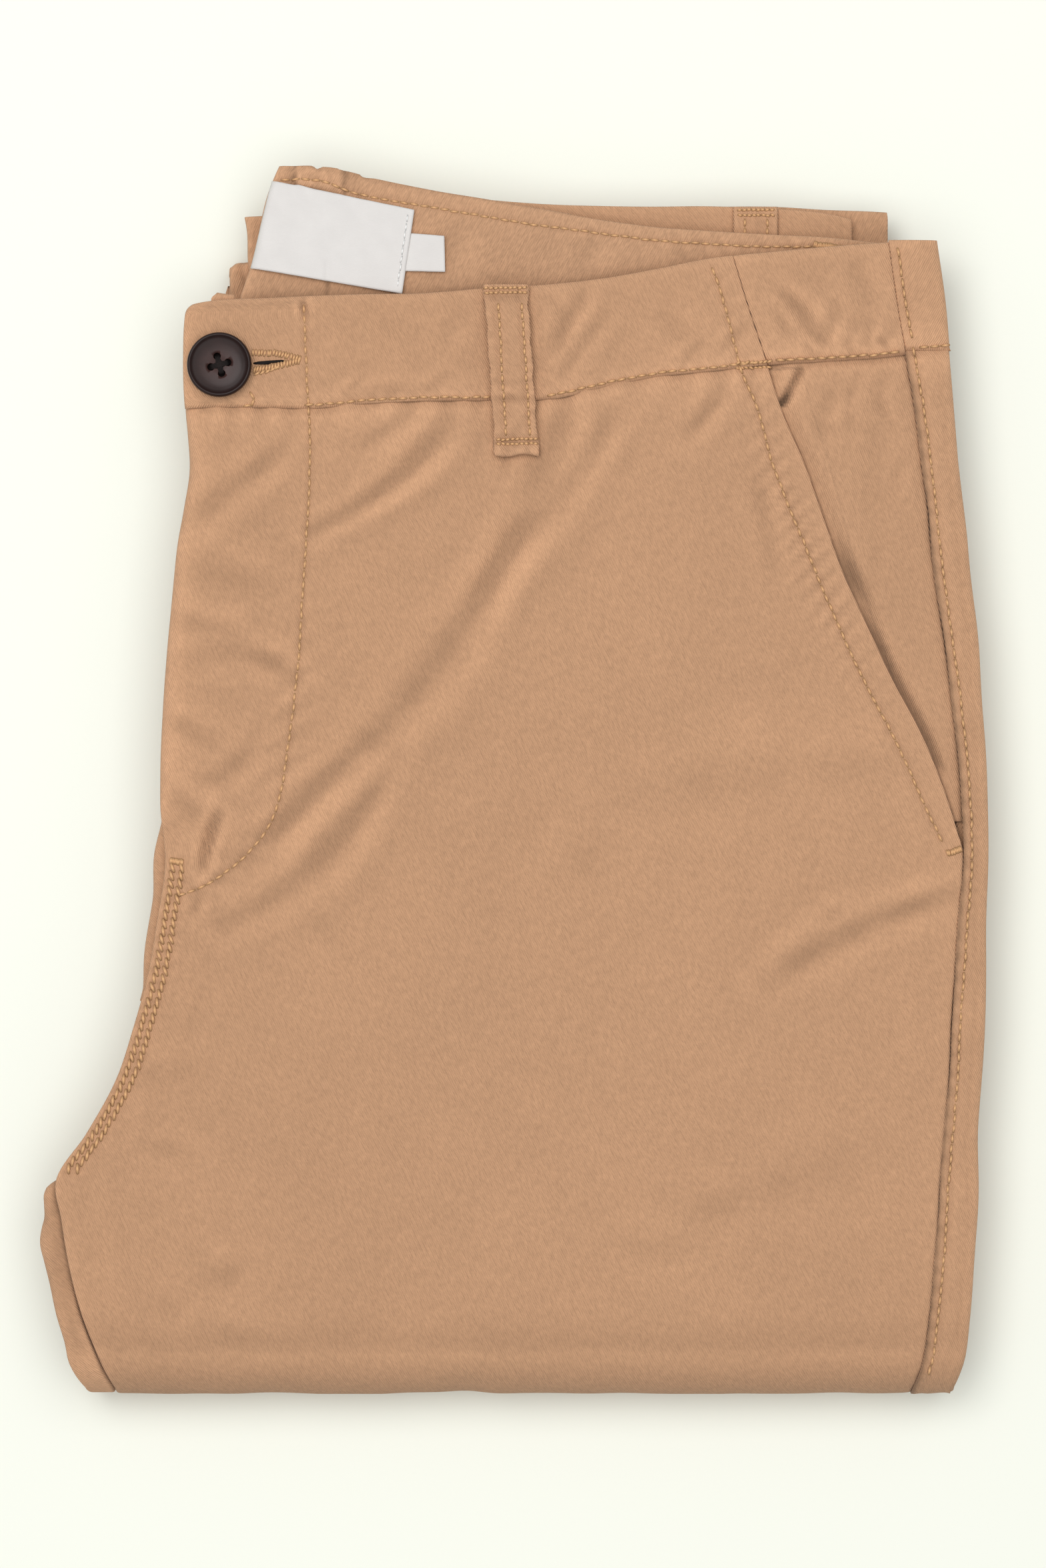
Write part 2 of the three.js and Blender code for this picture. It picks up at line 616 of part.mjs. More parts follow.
// The core steps down along the waist seam, where the waistband layers begin.
const coreWaistSeam = (part) => waistLine("seam", mix(-86, 102, part));
const coreStepStart = (part) => coreWaistSeam(part) - WAIST_STEP_BELOW;
const coreStepEnd = (part) => coreWaistSeam(part) + WAIST_STEP_ABOVE;

// Columns of the core, close together at its two edges
function coreX(left, right, col, columns) {
  const near = CORE_EDGE_COLUMNS.length;
  if (col < near) return left + CORE_EDGE_COLUMNS[col];
  if (col > columns - near) return right - CORE_EDGE_COLUMNS[columns - col];
  const reach = CORE_EDGE_COLUMNS[near - 1];
  return mix(left + reach, right - reach, (col - near + 1) / (columns - 2 * near + 2));
}

// Rows of the core: even along the body, then a short step down under the waistband layers
function coreY(row, rows, part) {
  if (row <= CORE_BODY_ROWS) return mix(CORE_START_Y, coreStepStart(part), row / CORE_BODY_ROWS);
  return mix(coreStepEnd(part), CORE_END_Y, (row - CORE_BODY_ROWS - 1) / (rows - CORE_BODY_ROWS - 1));
}

function layeredEdge(across, insets) {
  const layer = Math.min(Math.floor(across * EDGE_LAYERS), EDGE_LAYERS - 1);
  const local = (across * EDGE_LAYERS - layer) * 2 - 1;
  return insets[layer] + 2.2 * (1 - Math.sqrt(Math.max(1 - local * local * 0.94, 0)));
}

function foldedLayers() {
  const nx = 12;
  const ny = 16;
  const nz = EDGE_LAYERS * STEPS_PER_LAYER;
  const points = [];
  const known = new Map();
  const index = [];
  const place = (i, j, k) => {
    const y = coreY(j, ny, i / nx);
    const pastStep = j > CORE_BODY_ROWS;
    const height = k / nz;
    const waistPart = smooth((y - 80) / 15);
    const left = frontLeftX(y) + layeredEdge(height, LAYER_INSETS_LEFT) + CORE_WAIST_INSET.left * waistPart;
    const right = pileRightX(y) - layeredEdge(height, LAYER_INSETS_RIGHT) - CORE_WAIST_INSET.right * waistPart;
    const x = coreX(left, right, i, nx);
    const fromEdge = smooth((Math.min(x - left, right - x) - CORE_EDGE_ZONE) / 12);
    const top = pastStep ? CORE_WAIST_TOP : mix(CORE_EDGE_TOP, CORE_TOP, fromEdge);
    const edgeLow = pastStep ? CORE_WAIST_EDGE_BOTTOM : CORE_EDGE_BOTTOM;
    const low = mix(edgeLow, CORE_BOTTOM, fromEdge);
    const endRound = j === 0 ? 0.72 : 1;
    const middle = (top + low) / 2;
    const z = middle + (mix(low, top, height) - middle) * endRound;
    const endGroove = j === ny ? layeredEdge(height, [0, 1.4, 0.6, 2.2]) : 0;
    const startGroove = j === 0 ? layeredEdge(height, [1.2, 0, 0.4, 1.0]) : 0;
    return new THREE.Vector3(x, y - endGroove + startGroove, z);
  };
  const vertex = (i, j, k) => {
    const key = `${i},${j},${k}`;
    if (!known.has(key)) {
      known.set(key, points.length);
      points.push(place(i, j, k));
    }
    return known.get(key);
  };
  const quad = (a, b, c, d) => index.push(a, b, c, a, c, d);
  for (let j = 0; j < ny; j += 1) {
    for (let i = 0; i < nx; i += 1) {
      quad(vertex(i, j, nz), vertex(i + 1, j, nz), vertex(i + 1, j + 1, nz), vertex(i, j + 1, nz));
      quad(vertex(i, j, 0), vertex(i, j + 1, 0), vertex(i + 1, j + 1, 0), vertex(i + 1, j, 0));
    }
    for (let k = 0; k < nz; k += 1) {
      quad(vertex(nx, j, k), vertex(nx, j + 1, k), vertex(nx, j + 1, k + 1), vertex(nx, j, k + 1));
      quad(vertex(0, j, k), vertex(0, j, k + 1), vertex(0, j + 1, k + 1), vertex(0, j + 1, k));
    }
  }
  for (let i = 0; i < nx; i += 1) {
    for (let k = 0; k < nz; k += 1) {
      quad(vertex(i, 0, k), vertex(i + 1, 0, k), vertex(i + 1, 0, k + 1), vertex(i, 0, k + 1));
      quad(vertex(i, ny, k), vertex(i, ny, k + 1), vertex(i + 1, ny, k + 1), vertex(i + 1, ny, k));
    }
  }
  return closedGeometry(points, index);
}

// Button: a turned disc with a raised rim, and four sewing holes cut through it
const wasm = await Module();
wasm.setup();

function toSolid(geometry) {
  const bare = geometry.clone();
  bare.deleteAttribute("normal");
  bare.deleteAttribute("uv");
  const merged = BufferGeometryUtils.mergeVertices(bare, 1e-4);
  return new wasm.Manifold(new wasm.Mesh({
    numProp: 3,
    vertProperties: new Float32Array(merged.attributes.position.array),
    triVerts: new Uint32Array(merged.index.array),
  }));
}

function buttonGeometry() {
  const profile = [
    [0, 0],
    [BUTTON_RADIUS - 1.6, 0],
    [BUTTON_RADIUS - 0.4, 0.7],
    [BUTTON_RADIUS, 1.7],
    [BUTTON_RADIUS - 0.5, 2.7],
    [BUTTON_RADIUS - 1.3, 3.1],
    [BUTTON_RADIUS - 2.1, 2.8],
    [BUTTON_RADIUS - 3.0, 2.1],
    [BUTTON_RADIUS - 5.0, 1.8],
    [0, 1.8],
  ].map(([radius, height]) => new THREE.Vector2(radius, height));
  const turned = new THREE.LatheGeometry(profile, 28);
  turned.rotateX(Math.PI / 2);
  let solid = toSolid(turned);
  for (let corner = 0; corner < 4; corner += 1) {
    const angle = Math.PI / 4 + 0.5 + (corner * Math.PI) / 2;
    const drill = new THREE.CylinderGeometry(BUTTON_HOLE_RADIUS, BUTTON_HOLE_RADIUS, 10, 10);
    drill.rotateX(Math.PI / 2);
    drill.translate(
      BUTTON_HOLE_OFFSET * Math.SQRT2 * Math.cos(angle),
      BUTTON_HOLE_OFFSET * Math.SQRT2 * Math.sin(angle),
      0,
    );
    solid = solid.subtract(toSolid(drill));
  }
  const mesh = solid.getMesh();
  const geometry = new THREE.BufferGeometry();
  geometry.setAttribute("position", new THREE.BufferAttribute(new Float32Array(mesh.vertProperties), 3));
  geometry.setIndex(new THREE.BufferAttribute(new Uint32Array(mesh.triVerts), 1));
  geometry.translate(BUTTON_CENTRE.x, BUTTON_CENTRE.y, BAND_TOP_Z + 0.6);
  geometry.computeVertexNormals();
  return geometry;
}

addPiece("folded_layers", foldedLayers(), FACING_FABRIC);
addPiece("front_left", frontPanel(), FABRIC);
addPiece("front_right", rightFrontSliver(), FABRIC);
addPiece("back_left", backPanelAtSideSeam(), FABRIC);
addPiece("back_left_inseam", inseamStrip(), FABRIC);
addPiece("pocket_facing_left", pocketFacing(), FACING_FABRIC);
addPiece("waistband_front_left", frontBand(), FABRIC);
addPiece("waistband_side_left", sideBand(), FABRIC);
addPiece("waistband_back_left", backBand(), FABRIC);
addPiece("waistband_facing_back_left", insideBand(), FACING_FABRIC);
addPiece("waistband_back_right", rightBackBand(), FABRIC);
addPiece("waistband_front_right", rightFrontBand(), FACING_FABRIC);
addPiece("waistband_facing_front_left", patch(FRONT_FACING_CORNERS, 2, 5, () => 20.6, 1.5), FACING_FABRIC);
addPiece("fly_shield", patch(FLY_SHIELD_CORNERS, 5, 6, () => 7.7, 1.0), FACING_FABRIC);
addPiece("label", patch(LABEL_CORNERS, 8, 5, onInside, 1.0), LABEL_FABRIC);
addPiece("size_tag", patch(SIZE_TAG_CORNERS, 3, 3, onInside, 1.0), LABEL_FABRIC);
addPiece(
  "belt_loop_front_left",
  loopStrip(FRONT_LOOP.x, FRONT_LOOP.lean, FRONT_LOOP.bottom, FRONT_LOOP.top, FRONT_LOOP.width, underFrontLoop,
    FRONT_LOOP.wall),
  FABRIC,
);
addPiece("belt_loop_centre_back", loopStrip(-61, -0.4, 152, 175.0, 11, () => 15.4, 1.3), FABRIC);
addPiece("belt_loop_back_right", loopStrip(69.4, 0, 142, 164.2, 12.8, (x, y) => backHeight(x, y) + 0.3, 1.0), FABRIC);
addPiece("button", buttonGeometry(), BUTTON_PLASTIC);

export default trousers;
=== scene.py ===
"""Chino trousers folded into a flat pile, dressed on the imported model. Lengths are in millimetres until a
mesh is made."""

import math

import bpy
import numpy as np
from bpy.props import FloatProperty, FloatVectorProperty, PointerProperty
from bpy.types import Operator, Panel, PropertyGroup
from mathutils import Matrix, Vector


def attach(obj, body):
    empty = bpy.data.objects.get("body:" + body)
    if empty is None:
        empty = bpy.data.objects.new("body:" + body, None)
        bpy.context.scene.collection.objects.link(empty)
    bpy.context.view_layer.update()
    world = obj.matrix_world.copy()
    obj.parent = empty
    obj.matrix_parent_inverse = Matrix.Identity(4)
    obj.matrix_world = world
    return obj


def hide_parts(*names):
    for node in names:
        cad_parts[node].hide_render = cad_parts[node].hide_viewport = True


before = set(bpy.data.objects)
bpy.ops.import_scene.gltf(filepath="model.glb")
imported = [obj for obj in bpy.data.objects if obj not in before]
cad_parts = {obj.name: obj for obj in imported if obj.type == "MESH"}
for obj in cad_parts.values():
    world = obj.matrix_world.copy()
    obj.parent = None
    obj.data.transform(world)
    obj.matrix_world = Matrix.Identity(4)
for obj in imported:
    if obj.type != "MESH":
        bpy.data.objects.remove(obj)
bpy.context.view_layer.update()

bl_info = {
    "name": "Folded Chinos",
    "version": (1, 0, 0),
    "blender": (4, 5, 0),
    "location": "View3D > Sidebar > Chinos",
    "description": "Builds a folded pair of twill chinos, piece by piece",
    "category": "Add Mesh",
}

MM = 0.001
PILE_TOP = 24.6
HALF_PILE = PILE_TOP / 2
BOTTOM_FOLD_Y = -175.2
FOLD_DEPTH_Y = 11.7
FOLD_CENTRE_Y = BOTTOM_FOLD_Y + 10.0
UNDERSIDE_END_Y = 145.0
END_FOLD_RADIUS = 3.7
BAND_TOP_Z = 25.2
POCKET_END_Y = -19.4
SEAM_GAP = 0.1
SEAM_TUCK = 1.5
UNDERSIDE_LIFT = 0.12
BUTTON_CENTRE = (-83.6, 117.8)


def table(names, *rows):
    """Rows of numbers as named columns."""
    return dict(zip(names.split(), np.array(rows, float).T))


SIDES = table(
    "y left right seam",
    (-175.2, -114.0, 126.4, 114.4), (-165.7, -118.0, 129.2, 117.0), (-154.3, -122.6, 130.5, 118.6),
    (-139.1, -126.7, 131.9, 120.1), (-125.8, -128.9, 132.6, 121.1), (-114.4, -130.4, 133.0, 121.7),
    (-101.1, -121.8, 133.2, 122.9), (-85.9, -113.4, 133.8, 124.2), (-70.7, -108.3, 134.7, 124.9),
    (-55.5, -104.2, 135.2, 126.0), (-40.3, -101.6, 135.5, 127.1), (-25.1, -99.4, 135.7, 128.3),
    (-6.1, -100.8, 135.7, 127.9), (24.3, -99.9, 134.0, 124.9), (50.9, -97.6, 131.7, 121.2),
    (68.0, -95.8, 129.8, 119.0), (77.5, -94.1, 128.6, 118.1), (88.0, -92.5, 127.7, 116.9),
    (98.0, -93.0, 126.9, 115.7), (105.6, -93.7, 126.1, 114.6), (119.3, -94.2, 124.8, 112.2),
    (135.9, -93.1, 123.4, 109.3), (154.3, -86.8, 120.8, 106.8),
)
POCKET = table(
    "y x",
    (-19.4, 128.0), (-2.3, 122.6), (13.9, 115.9), (28.1, 108.3), (44.3, 100.7), (58.5, 94.2),
    (74.7, 88.4), (90.8, 82.7), (104.1, 77.0), (118.8, 72.2), (136.0, 66.5), (148.6, 62.7),
)
WAIST = table(
    "x seam band inside back front",
    (-94.0, 105.6, 133.6, 175.4, 169.0, 160.0), (-86.8, 105.9, 135.9, 175.4, 169.0, 161.2),
    (-70.3, 105.8, 137.2, 175.4, 169.0, 162.3), (-58.9, 105.6, 137.8, 174.8, 169.2, 163.0),
    (-43.7, 107.0, 138.3, 171.6, 169.4, 163.4), (-28.5, 107.7, 138.5, 168.7, 168.8, 163.8),
    (-9.5, 107.9, 140.0, 165.7, 166.6, 164.0), (9.5, 108.4, 141.2, 162.5, 165.1, 164.2),
    (24.7, 111.7, 142.9, 159.9, 164.6, 164.4), (39.9, 114.6, 145.5, 158.0, 164.4, 164.6),
    (55.1, 116.2, 148.4, 156.9, 164.5, 164.8), (74.1, 118.2, 150.4, 155.8, 163.8, 164.9),
    (89.3, 119.1, 151.8, 155.0, 162.5, 164.0), (107.4, 120.4, 153.1, 153.1, 158.0, 163.2),
    (124.8, 123.0, 154.3, 152.0, 154.0, 161.0),
)
INSEAM = table(
    "y out",
    (-176.9, 8.6), (-173.3, 9.2), (-167.6, 9.4), (-160.0, 7.9), (-152.4, 7.5), (-144.8, 7.2), (-138.1, 7.4),
    (-132.4, 7.6), (-128.5, 6.5), (-125.8, 5.4), (-122.0, 4.6), (-118.2, 3.7), (-116.2, 2.4), (-114.8, 0.4),
    (-112.5, -0.7), (-64.0, -0.8),
)
SLIVER = table("y out", (-60.0, 0.8), (-51.7, 2.4), (-34.6, 2.7), (-22.2, 3.6), (-12.0, 0.4))

# Creases, each through three places: width and depth of the trough, lift of the ridge beside it
CREASES = table(
    "x1 y1 x2 y2 x3 y3 width depth lift",
    (14.3, 108, -5, 60, -40, 12, 4.6, 1.35, 0.75), (-38, 14, -60, -6, -77, -24, 4.2, 1.15, 0.6),
    (-34, 7, -56, -23, -83, -41, 3.6, 0.85, 0.5), (-17.3, 104, -35, 85, -58, 71, 2.6, 1.0, 0.7),
    (30, 110, 17, 86, 1, 67, 3.6, 0.6, 0.4), (-66.5, 94, -81, 83, -95, 73, 3.2, 0.9, 0.5),
    (-74.5, 10.6, -81, 3, -89, 0, 2.6, 0.7, 0.4), (-84.5, -10.3, -87, -18, -88.4, -25, 1.9, 2.0, 1.0),
    (-89.3, -32.7, -90.5, -35.5, -91.2, -38.4, 1.5, 0.5, 0.3), (-98, 32, -80, 36, -63, 30, 3.4, 0.75, 0.4),
    (60, 112, 55, 105, 49, 99, 2.8, 0.6, 0.4), (74, -57.4, 95, -44, 125, -33, 3.4, 1.0, 0.5),
    (88, -39, 91.2, -38.4, 95, -36, 2.0, 0.35, 0.2), (32, -6, 70, 0, 106, 3.4, 7.0, 0.6, 0.4),
    (15.2, -28.9, 20, -24, 24.7, -19.4, 5.0, 0.4, 0.3), (43.7, -125.8, 72, -118, 100.7, -106.8, 6.5, 0.55, 0.35),
    (32, -133.4, 45, -134.5, 57, -133, 4.5, 0.4, 0.3), (-91, -141, -84, -141.5, -76, -139, 3.5, 0.5, 0.3),
    (-106, -151, -100, -150.5, -92, -152, 6.0, 0.22, 0.12), (-87, -160, -75, -163.5, -63, -167.5, 4.5, 0.4, 0.25),
    (-108, -84, -99, -84.5, -89, -83, 4.0, 0.4, 0.25), (-104.5, -105.8, -99, -105.5, -93, -106.5, 3.0, 0.4, 0.25),
    (-58, -41, -55.1, -42.2, -51, -42, 4.0, 0.35, 0.2), (68.4, 88.9, 71.5, 73, 74, 58.5, 3.0, 0.5, 0.3),
    (-30, 105, -38, 99, -47, 95, 2.4, 0.5, 0.35), (-96.9, 60.4, -83, 58, -70, 54.7, 4.0, 0.45, 0.3),
    (-97.9, 45.2, -85, 42.5, -74, 41.4, 3.6, 0.5, 0.35), (-98.8, 16.7, -91, 13, -83.6, 9.1, 3.0, 0.5, 0.3),
    (-99.8, -2.3, -94, -7, -89.3, -12, 2.8, 0.5, 0.3), (5, 104, 0, 97, -3, 88, 2.2, 0.45, 0.3),
)
BAND_CREASES = table(
    "x1 y1 x2 y2 x3 y3 width depth lift",
    (20, 140.2, 16, 131, 12.4, 123, 2.3, 0.7, 0.5), (24.7, 132.6, 19, 124, 13.3, 115.5, 2.3, 0.55, 0.4),
    (-60.8, 136.8, -60, 134.5, -59.4, 132, 1.5, 0.6, 0.4), (-22, 110.5, -34, 110.2, -54, 106.4, 1.8, 0.5, 0.45),
    (78, 136.4, 84, 129, 89.3, 121, 3.0, 0.6, 0.4), (96, 148, 99, 140, 100, 130, 3.6, 0.4, 0.3),
    (-80, 107.6, -86, 107.2, -93, 108.6, 1.8, 0.45, 0.3), (40, 133, 46, 128, 52, 121, 4.5, 0.35, 0.25),
    (-40, 131, -32, 127, -24, 120, 5.0, 0.3, 0.2), (91.5, 133, 89.5, 128, 88.5, 123.5, 1.6, 0.55, 0.35),
    (101.6, 130, 101, 126, 100.6, 122.6, 1.5, 0.5, 0.35), (76, 139.5, 79, 136, 82.5, 133.5, 1.8, 0.45, 0.3),
    (108, 128, 106, 125.5, 102, 123.6, 1.6, 0.35, 0.25), (58, 121, 62, 124.5, 66, 131, 2.4, 0.3, 0.2),
    (11.2, 136, 13.5, 131, 12.2, 124, 1.8, 0.45, 0.3), (-16, 134, -19, 128, -21, 123, 3.0, 0.25, 0.2),
    (83, 124, 85, 121.5, 88, 120.6, 1.3, 0.45, 0.3),
    (94, 124.5, 96, 122.5, 98, 121.5, 1.2, 0.4, 0.3), (104, 126, 105.5, 124, 108, 123, 1.2, 0.4, 0.3),
    (74.5, 134, 77, 129, 79, 125.5, 1.6, 0.35, 0.25), (48, 118.6, 50, 121, 53, 123, 1.4, 0.3, 0.25),
    (-48, 109, -46, 111.5, -43, 114, 1.5, 0.3, 0.25), (-25, 110, -22.5, 112.6, -19, 114.4, 1.5, 0.3, 0.25),
)
FACING_CREASES = table(
    "x1 y1 x2 y2 x3 y3 width depth lift",
    (102.6, 104, 102.8, 80, 102.4, 56, 3.4, 0.6, 0.3), (92, 112, 88, 104, 87, 96, 2.6, 0.5, 0.3),
    (98, 115, 95.5, 108, 97, 100, 1.8, 0.4, 0.25), (84, 103, 88, 100, 95, 101, 1.8, 0.3, 0.2),
    (106, 116, 104, 109, 107, 101, 1.8, 0.35, 0.2), (112, 92, 108, 84, 109, 74, 2.4, 0.3, 0.2),
)
INSIDE_CREASES = table(
    "x1 y1 x2 y2 x3 y3 width depth lift",
    (-15, 160, -20, 150, -22, 141, 3.5, 0.4, 0.3), (25, 156, 20, 150, 18, 144, 3.0, 0.35, 0.25),
    (-66, 170, -61, 165, -58, 160, 2.6, 0.4, 0.3), (60, 155, 52, 152, 46, 149, 2.4, 0.35, 0.25),
)

# Sewn lines from above
FLY_LINE = [
    (-59.7, 135.4), (-59.3, 124), (-58.7, 111.7), (-58.1, 100.3), (-58.0, 88.9), (-58.7, 73.7), (-60.2, 50.9),
    (-61.2, 34.8), (-62.5, 22.4), (-64.0, 11.0), (-65.4, 1.5), (-66.9, -6.1), (-69.9, -13.7), (-74.5, -19.8),
    (-79.4, -24.5), (-85.5, -28.9), (-92.2, -32.1), (-96.0, -33.1),
]
POCKET_LINE = [
    (56.4, 145.9), (59.3, 138.3), (61.2, 130.7), (62.7, 125.0), (64.2, 118.4), (69.4, 106.0), (74.1, 88.9),
    (81.7, 69.9), (90.3, 49.0), (99.8, 28.1), (110.2, 8.2), (116.9, -7.0), (122.2, -17.9),
]
INSIDE_LINE = [
    (-66.6, 171.4), (-55.1, 171.0), (-47.5, 168.2), (-39.9, 166.3), (-32.3, 164.9), (-22.8, 163.4), (-13.3, 161.8),
    (-1.9, 159.9), (5.7, 158.6), (20.9, 156.6), (36.1, 154.6), (55.1, 153.1), (74.1, 152.2), (91.2, 152.3),
]


def along(rows, key, name, place):
    """Cubic curve through one column: each stretch leaves and meets its rows with their neighbours' slopes."""
    order = np.argsort(rows[key])
    keys, values = rows[key][order], rows[name][order]
    place = np.clip(place, keys[0], keys[-1])
    slopes = np.gradient(values, keys)
    at = np.clip(np.searchsorted(keys, place, side="right") - 1, 0, len(keys) - 2)
    span = keys[at + 1] - keys[at]
    part = (place - keys[at]) / span
    return (
        (1 + 2 * part) * (1 - part) ** 2 * values[at]
        + part * (1 - part) ** 2 * span * slopes[at]
        + part**2 * (3 - 2 * part) * values[at + 1]
        - part**2 * (1 - part) * span * slopes[at + 1]
    )


def left_x(y):
    return along(SIDES, "y", "left", y)


def right_x(y):
    return along(SIDES, "y", "right", y)


def seam_x(y):
    return along(SIDES, "y", "seam", y)


def pocket_x(y):
    return along(POCKET, "y", "x", y)


def inside_left(y):
    return along(INSIDE_LEFT, "y", "x", y)


def deep_left(y):
    return along(DEEP_LEFT, "y", "x", y)


def waist(name, x):
    return along(WAIST, "x", name, x)


def ease(value):
    """0 below 0, 1 above 1, and 3t^2 - 2t^3 between."""
    part = np.clip(value, 0, 1)
    return part * part * (3 - 2 * part)


def mix(low, high, part):
    return low + (high - low) * part


def bell(distance, width):
    """1 at no distance, falling away on both sides over about width."""
    return np.exp(-((distance / width) ** 2))


def rolled(distance, reach, fall):
    """How far a rounded edge has dropped: a quarter ellipse, reach wide and fall deep, and 0 further in."""
    part = np.clip(1 - distance / reach, 0, 1)
    return fall * (1 - np.sqrt(1 - part * part))


def ripple(x, y, scale, seed, waves=9):
    """Soft uneven swell of about -1 to 1: a sum of sines of seeded directions, phases and lengths near scale."""
    draw = np.random.default_rng(seed)
    total = 0.0
    for angle, phase, stretch in zip(
        draw.uniform(0, math.pi, waves), draw.uniform(0, 2 * math.pi, waves), draw.uniform(0.7, 1.5, waves)
    ):
        turn = 2 * math.pi / (scale * stretch)
        total = total + np.sin((x * math.cos(angle) + y * math.sin(angle)) * turn + phase)
    return total / math.sqrt(waves) * 0.7


def even_path(points, step):
    """Points at equal steps along a smooth curve through the given ones."""
    points = np.array(points, float)
    reach = np.concatenate([[0], np.cumsum(np.hypot(*np.diff(points, axis=0).T))])
    rows = {"s": reach, "x": points[:, 0], "y": points[:, 1]}
    fine = np.linspace(0, reach[-1], max(int(reach[-1] / 0.5), 4))
    line = np.stack([along(rows, "s", "x", fine), along(rows, "s", "y", fine)], -1)
    length = np.concatenate([[0], np.cumsum(np.hypot(*np.diff(line, axis=0).T))])
    stops = np.linspace(0, length[-1], max(int(round(length[-1] / step)), 1) + 1)
    return np.stack([np.interp(stops, length, line[:, 0]), np.interp(stops, length, line[:, 1])], -1)


def near_path(path, x, y):
    """Distance to the nearest place on a path, the side it is on (1 is left of its run), and how far along."""
    best = np.full(np.shape(x), 1e9)
    side = np.ones(np.shape(x))
    where = np.zeros(np.shape(x))
    start = 0.0
    for (ax, ay), (bx, by) in zip(path[:-1], path[1:]):
        dx, dy = bx - ax, by - ay
        length = math.hypot(dx, dy)
        part = np.clip(((x - ax) * dx + (y - ay) * dy) / length**2, 0, 1)
        gap = np.hypot(x - ax - part * dx, y - ay - part * dy)
        closer = gap < best
        best = np.where(closer, gap, best)
        side = np.where(closer, np.sign(dx * (y - ay) - dy * (x - ax)), side)
        where = np.where(closer, start + part * length, where)
        start += length
    return best, side, where, start


def creased(rows, x, y):
    """Height of the creases: each is a bell-shaped trough along a curve, with a ridge on its lower right side
    and a smaller one on the other, fading to both ends and uneven along its run."""
    height = np.zeros(np.shape(x))
    for number in range(len(rows["x1"])):
        row = {name: column[number] for name, column in rows.items()}
        part = np.linspace(0, 1, 13)
        via_x = 2 * row["x2"] - (row["x1"] + row["x3"]) / 2
        via_y = 2 * row["y2"] - (row["y1"] + row["y3"]) / 2
        weights = (1 - part) ** 2, 2 * part * (1 - part), part**2
        path = np.stack(
            [
                weights[0] * row["x1"] + weights[1] * via_x + weights[2] * row["x3"],
                weights[0] * row["y1"] + weights[1] * via_y + weights[2] * row["y3"],
            ],
            -1,
        )
        gap, side, where, length = near_path(path, x, y)
        fade = np.sin(math.pi * (0.06 + 0.88 * where / length)) ** 0.7
        uneven = 1 + 0.22 * np.sin(where / 6.5 + number * 1.7) + 0.12 * np.sin(where / 2.9 + number)
        width = row["width"] * (1 + 0.2 * np.sin(where / 11 + number * 2.3))
        trough = bell(gap, width)
        ridge = bell(side * gap - 1.9 * width, 1.15 * width)
        other = bell(side * gap + 2.1 * width, 1.2 * width)
        height += fade * uneven * (row["lift"] * (ridge + 0.35 * other) - row["depth"] * trough)
    return height


def sewn(path, x, y, depth=0.3, pucker=0.22, reach=5.0, length=6.2, seed=0):
    """Height that a sewn line gives the cloth: a narrow dent along it, and puckers that cross it unevenly."""
    gap, side, where, total = near_path(path, x, y)
    dent = -depth * bell(gap, 0.75)
    turn = where / length * 2 * math.pi + 1.6 * np.sin(where / 17 + seed) + 0.9 * np.sin(where / 7.3 + seed)
    strength = 0.55 + 0.45 * np.sin(where / 23 + 2.1 * seed)
    slant = side * gap * 0.5
    wave = np.sin(turn + slant) * strength * bell(gap, reach) * pucker
    return dent + wave


SEWN_LINES = {
    "fly": even_path(FLY_LINE, 2.0),
    "pocket": even_path(POCKET_LINE, 2.0),
    "inside": even_path(INSIDE_LINE, 2.0),
}


def edge_line(edge, offset, low, high, step=2.0):
    """A line that keeps a set distance inside a panel's edge."""
    y = np.arange(high, low, -step)
    return np.stack([edge(y) + offset, y], -1)


CROTCH_ROWS = [edge_line(left_x, offset, -112.5, -24.0) for offset in (2.2, 4.8)]
SEAM_ROW = edge_line(seam_x, 2.3, -172.0, 152.0)


def front_relief(x, y):
    """Height of the front panel's folds, sewn lines and slack above its flat lie."""
    quiet = ease((y - FOLD_CENTRE_Y) / 10)
    height = creased(CREASES, x, y)
    height = height + sewn(SEWN_LINES["fly"], x, y, 0.3, 0.2, 6.0, 8.5, 1)
    height = height + sewn(SEWN_LINES["pocket"], x, y, 0.3, 0.26, 5.5, 4.9, 2)
    for number, row in enumerate(CROTCH_ROWS):
        height = height + sewn(row, x, y, 0.25, 0.14, 3.5, 5.2, 3 + number)
    under_band = waist("seam", x) - y
    height = height + 0.28 * bell(under_band, 7) * np.sin(x / 1.55 + 1.7 * np.sin(x / 13))
    height = height + 0.3 * ripple(x, y, 80, 11) + 0.06 * ripple(x, y, 26, 12) + 0.03 * ripple(x, y, 7, 13)
    return height * quiet


def seam_dip(x, y):
    """How far the cloth below the waistband sinks to pass in under the band's lower edge."""
    return 0.8 * ease(1 - (waist("seam", x) - y) / 2.4)


def band_z(x, y):
    """Top of the outer waistband."""
    low = waist("seam", x)
    height = BAND_TOP_Z + creased(BAND_CREASES, x, y) + 0.16 * ripple(x, y, 26, 21) + 0.05 * ripple(x, y, 8, 22)
    ridge = bell(y - low - 1.4, 1.1)
    height = height + 0.22 * ridge * (1 + 0.8 * np.sin(x / 0.85 + 2 * np.sin(x / 9)))
    height = height - 1.0 * bell(y - low, 1.4) + sewn(SEWN_LINES["fly"], x, y, 0.4, 0.12, 3, 7, 5)
    tuft = bell(x + 61.5, 1.2) * bell(y - 134.5, 1.8)
    height = height + 0.7 * tuft - 0.5 * bell(x + 59.6, 0.9) * bell(y - 133.5, 2.2)
    return height + sewn(SEWN_LINES["pocket"], x, y, 0.3, 0.15, 4, 6, 6)


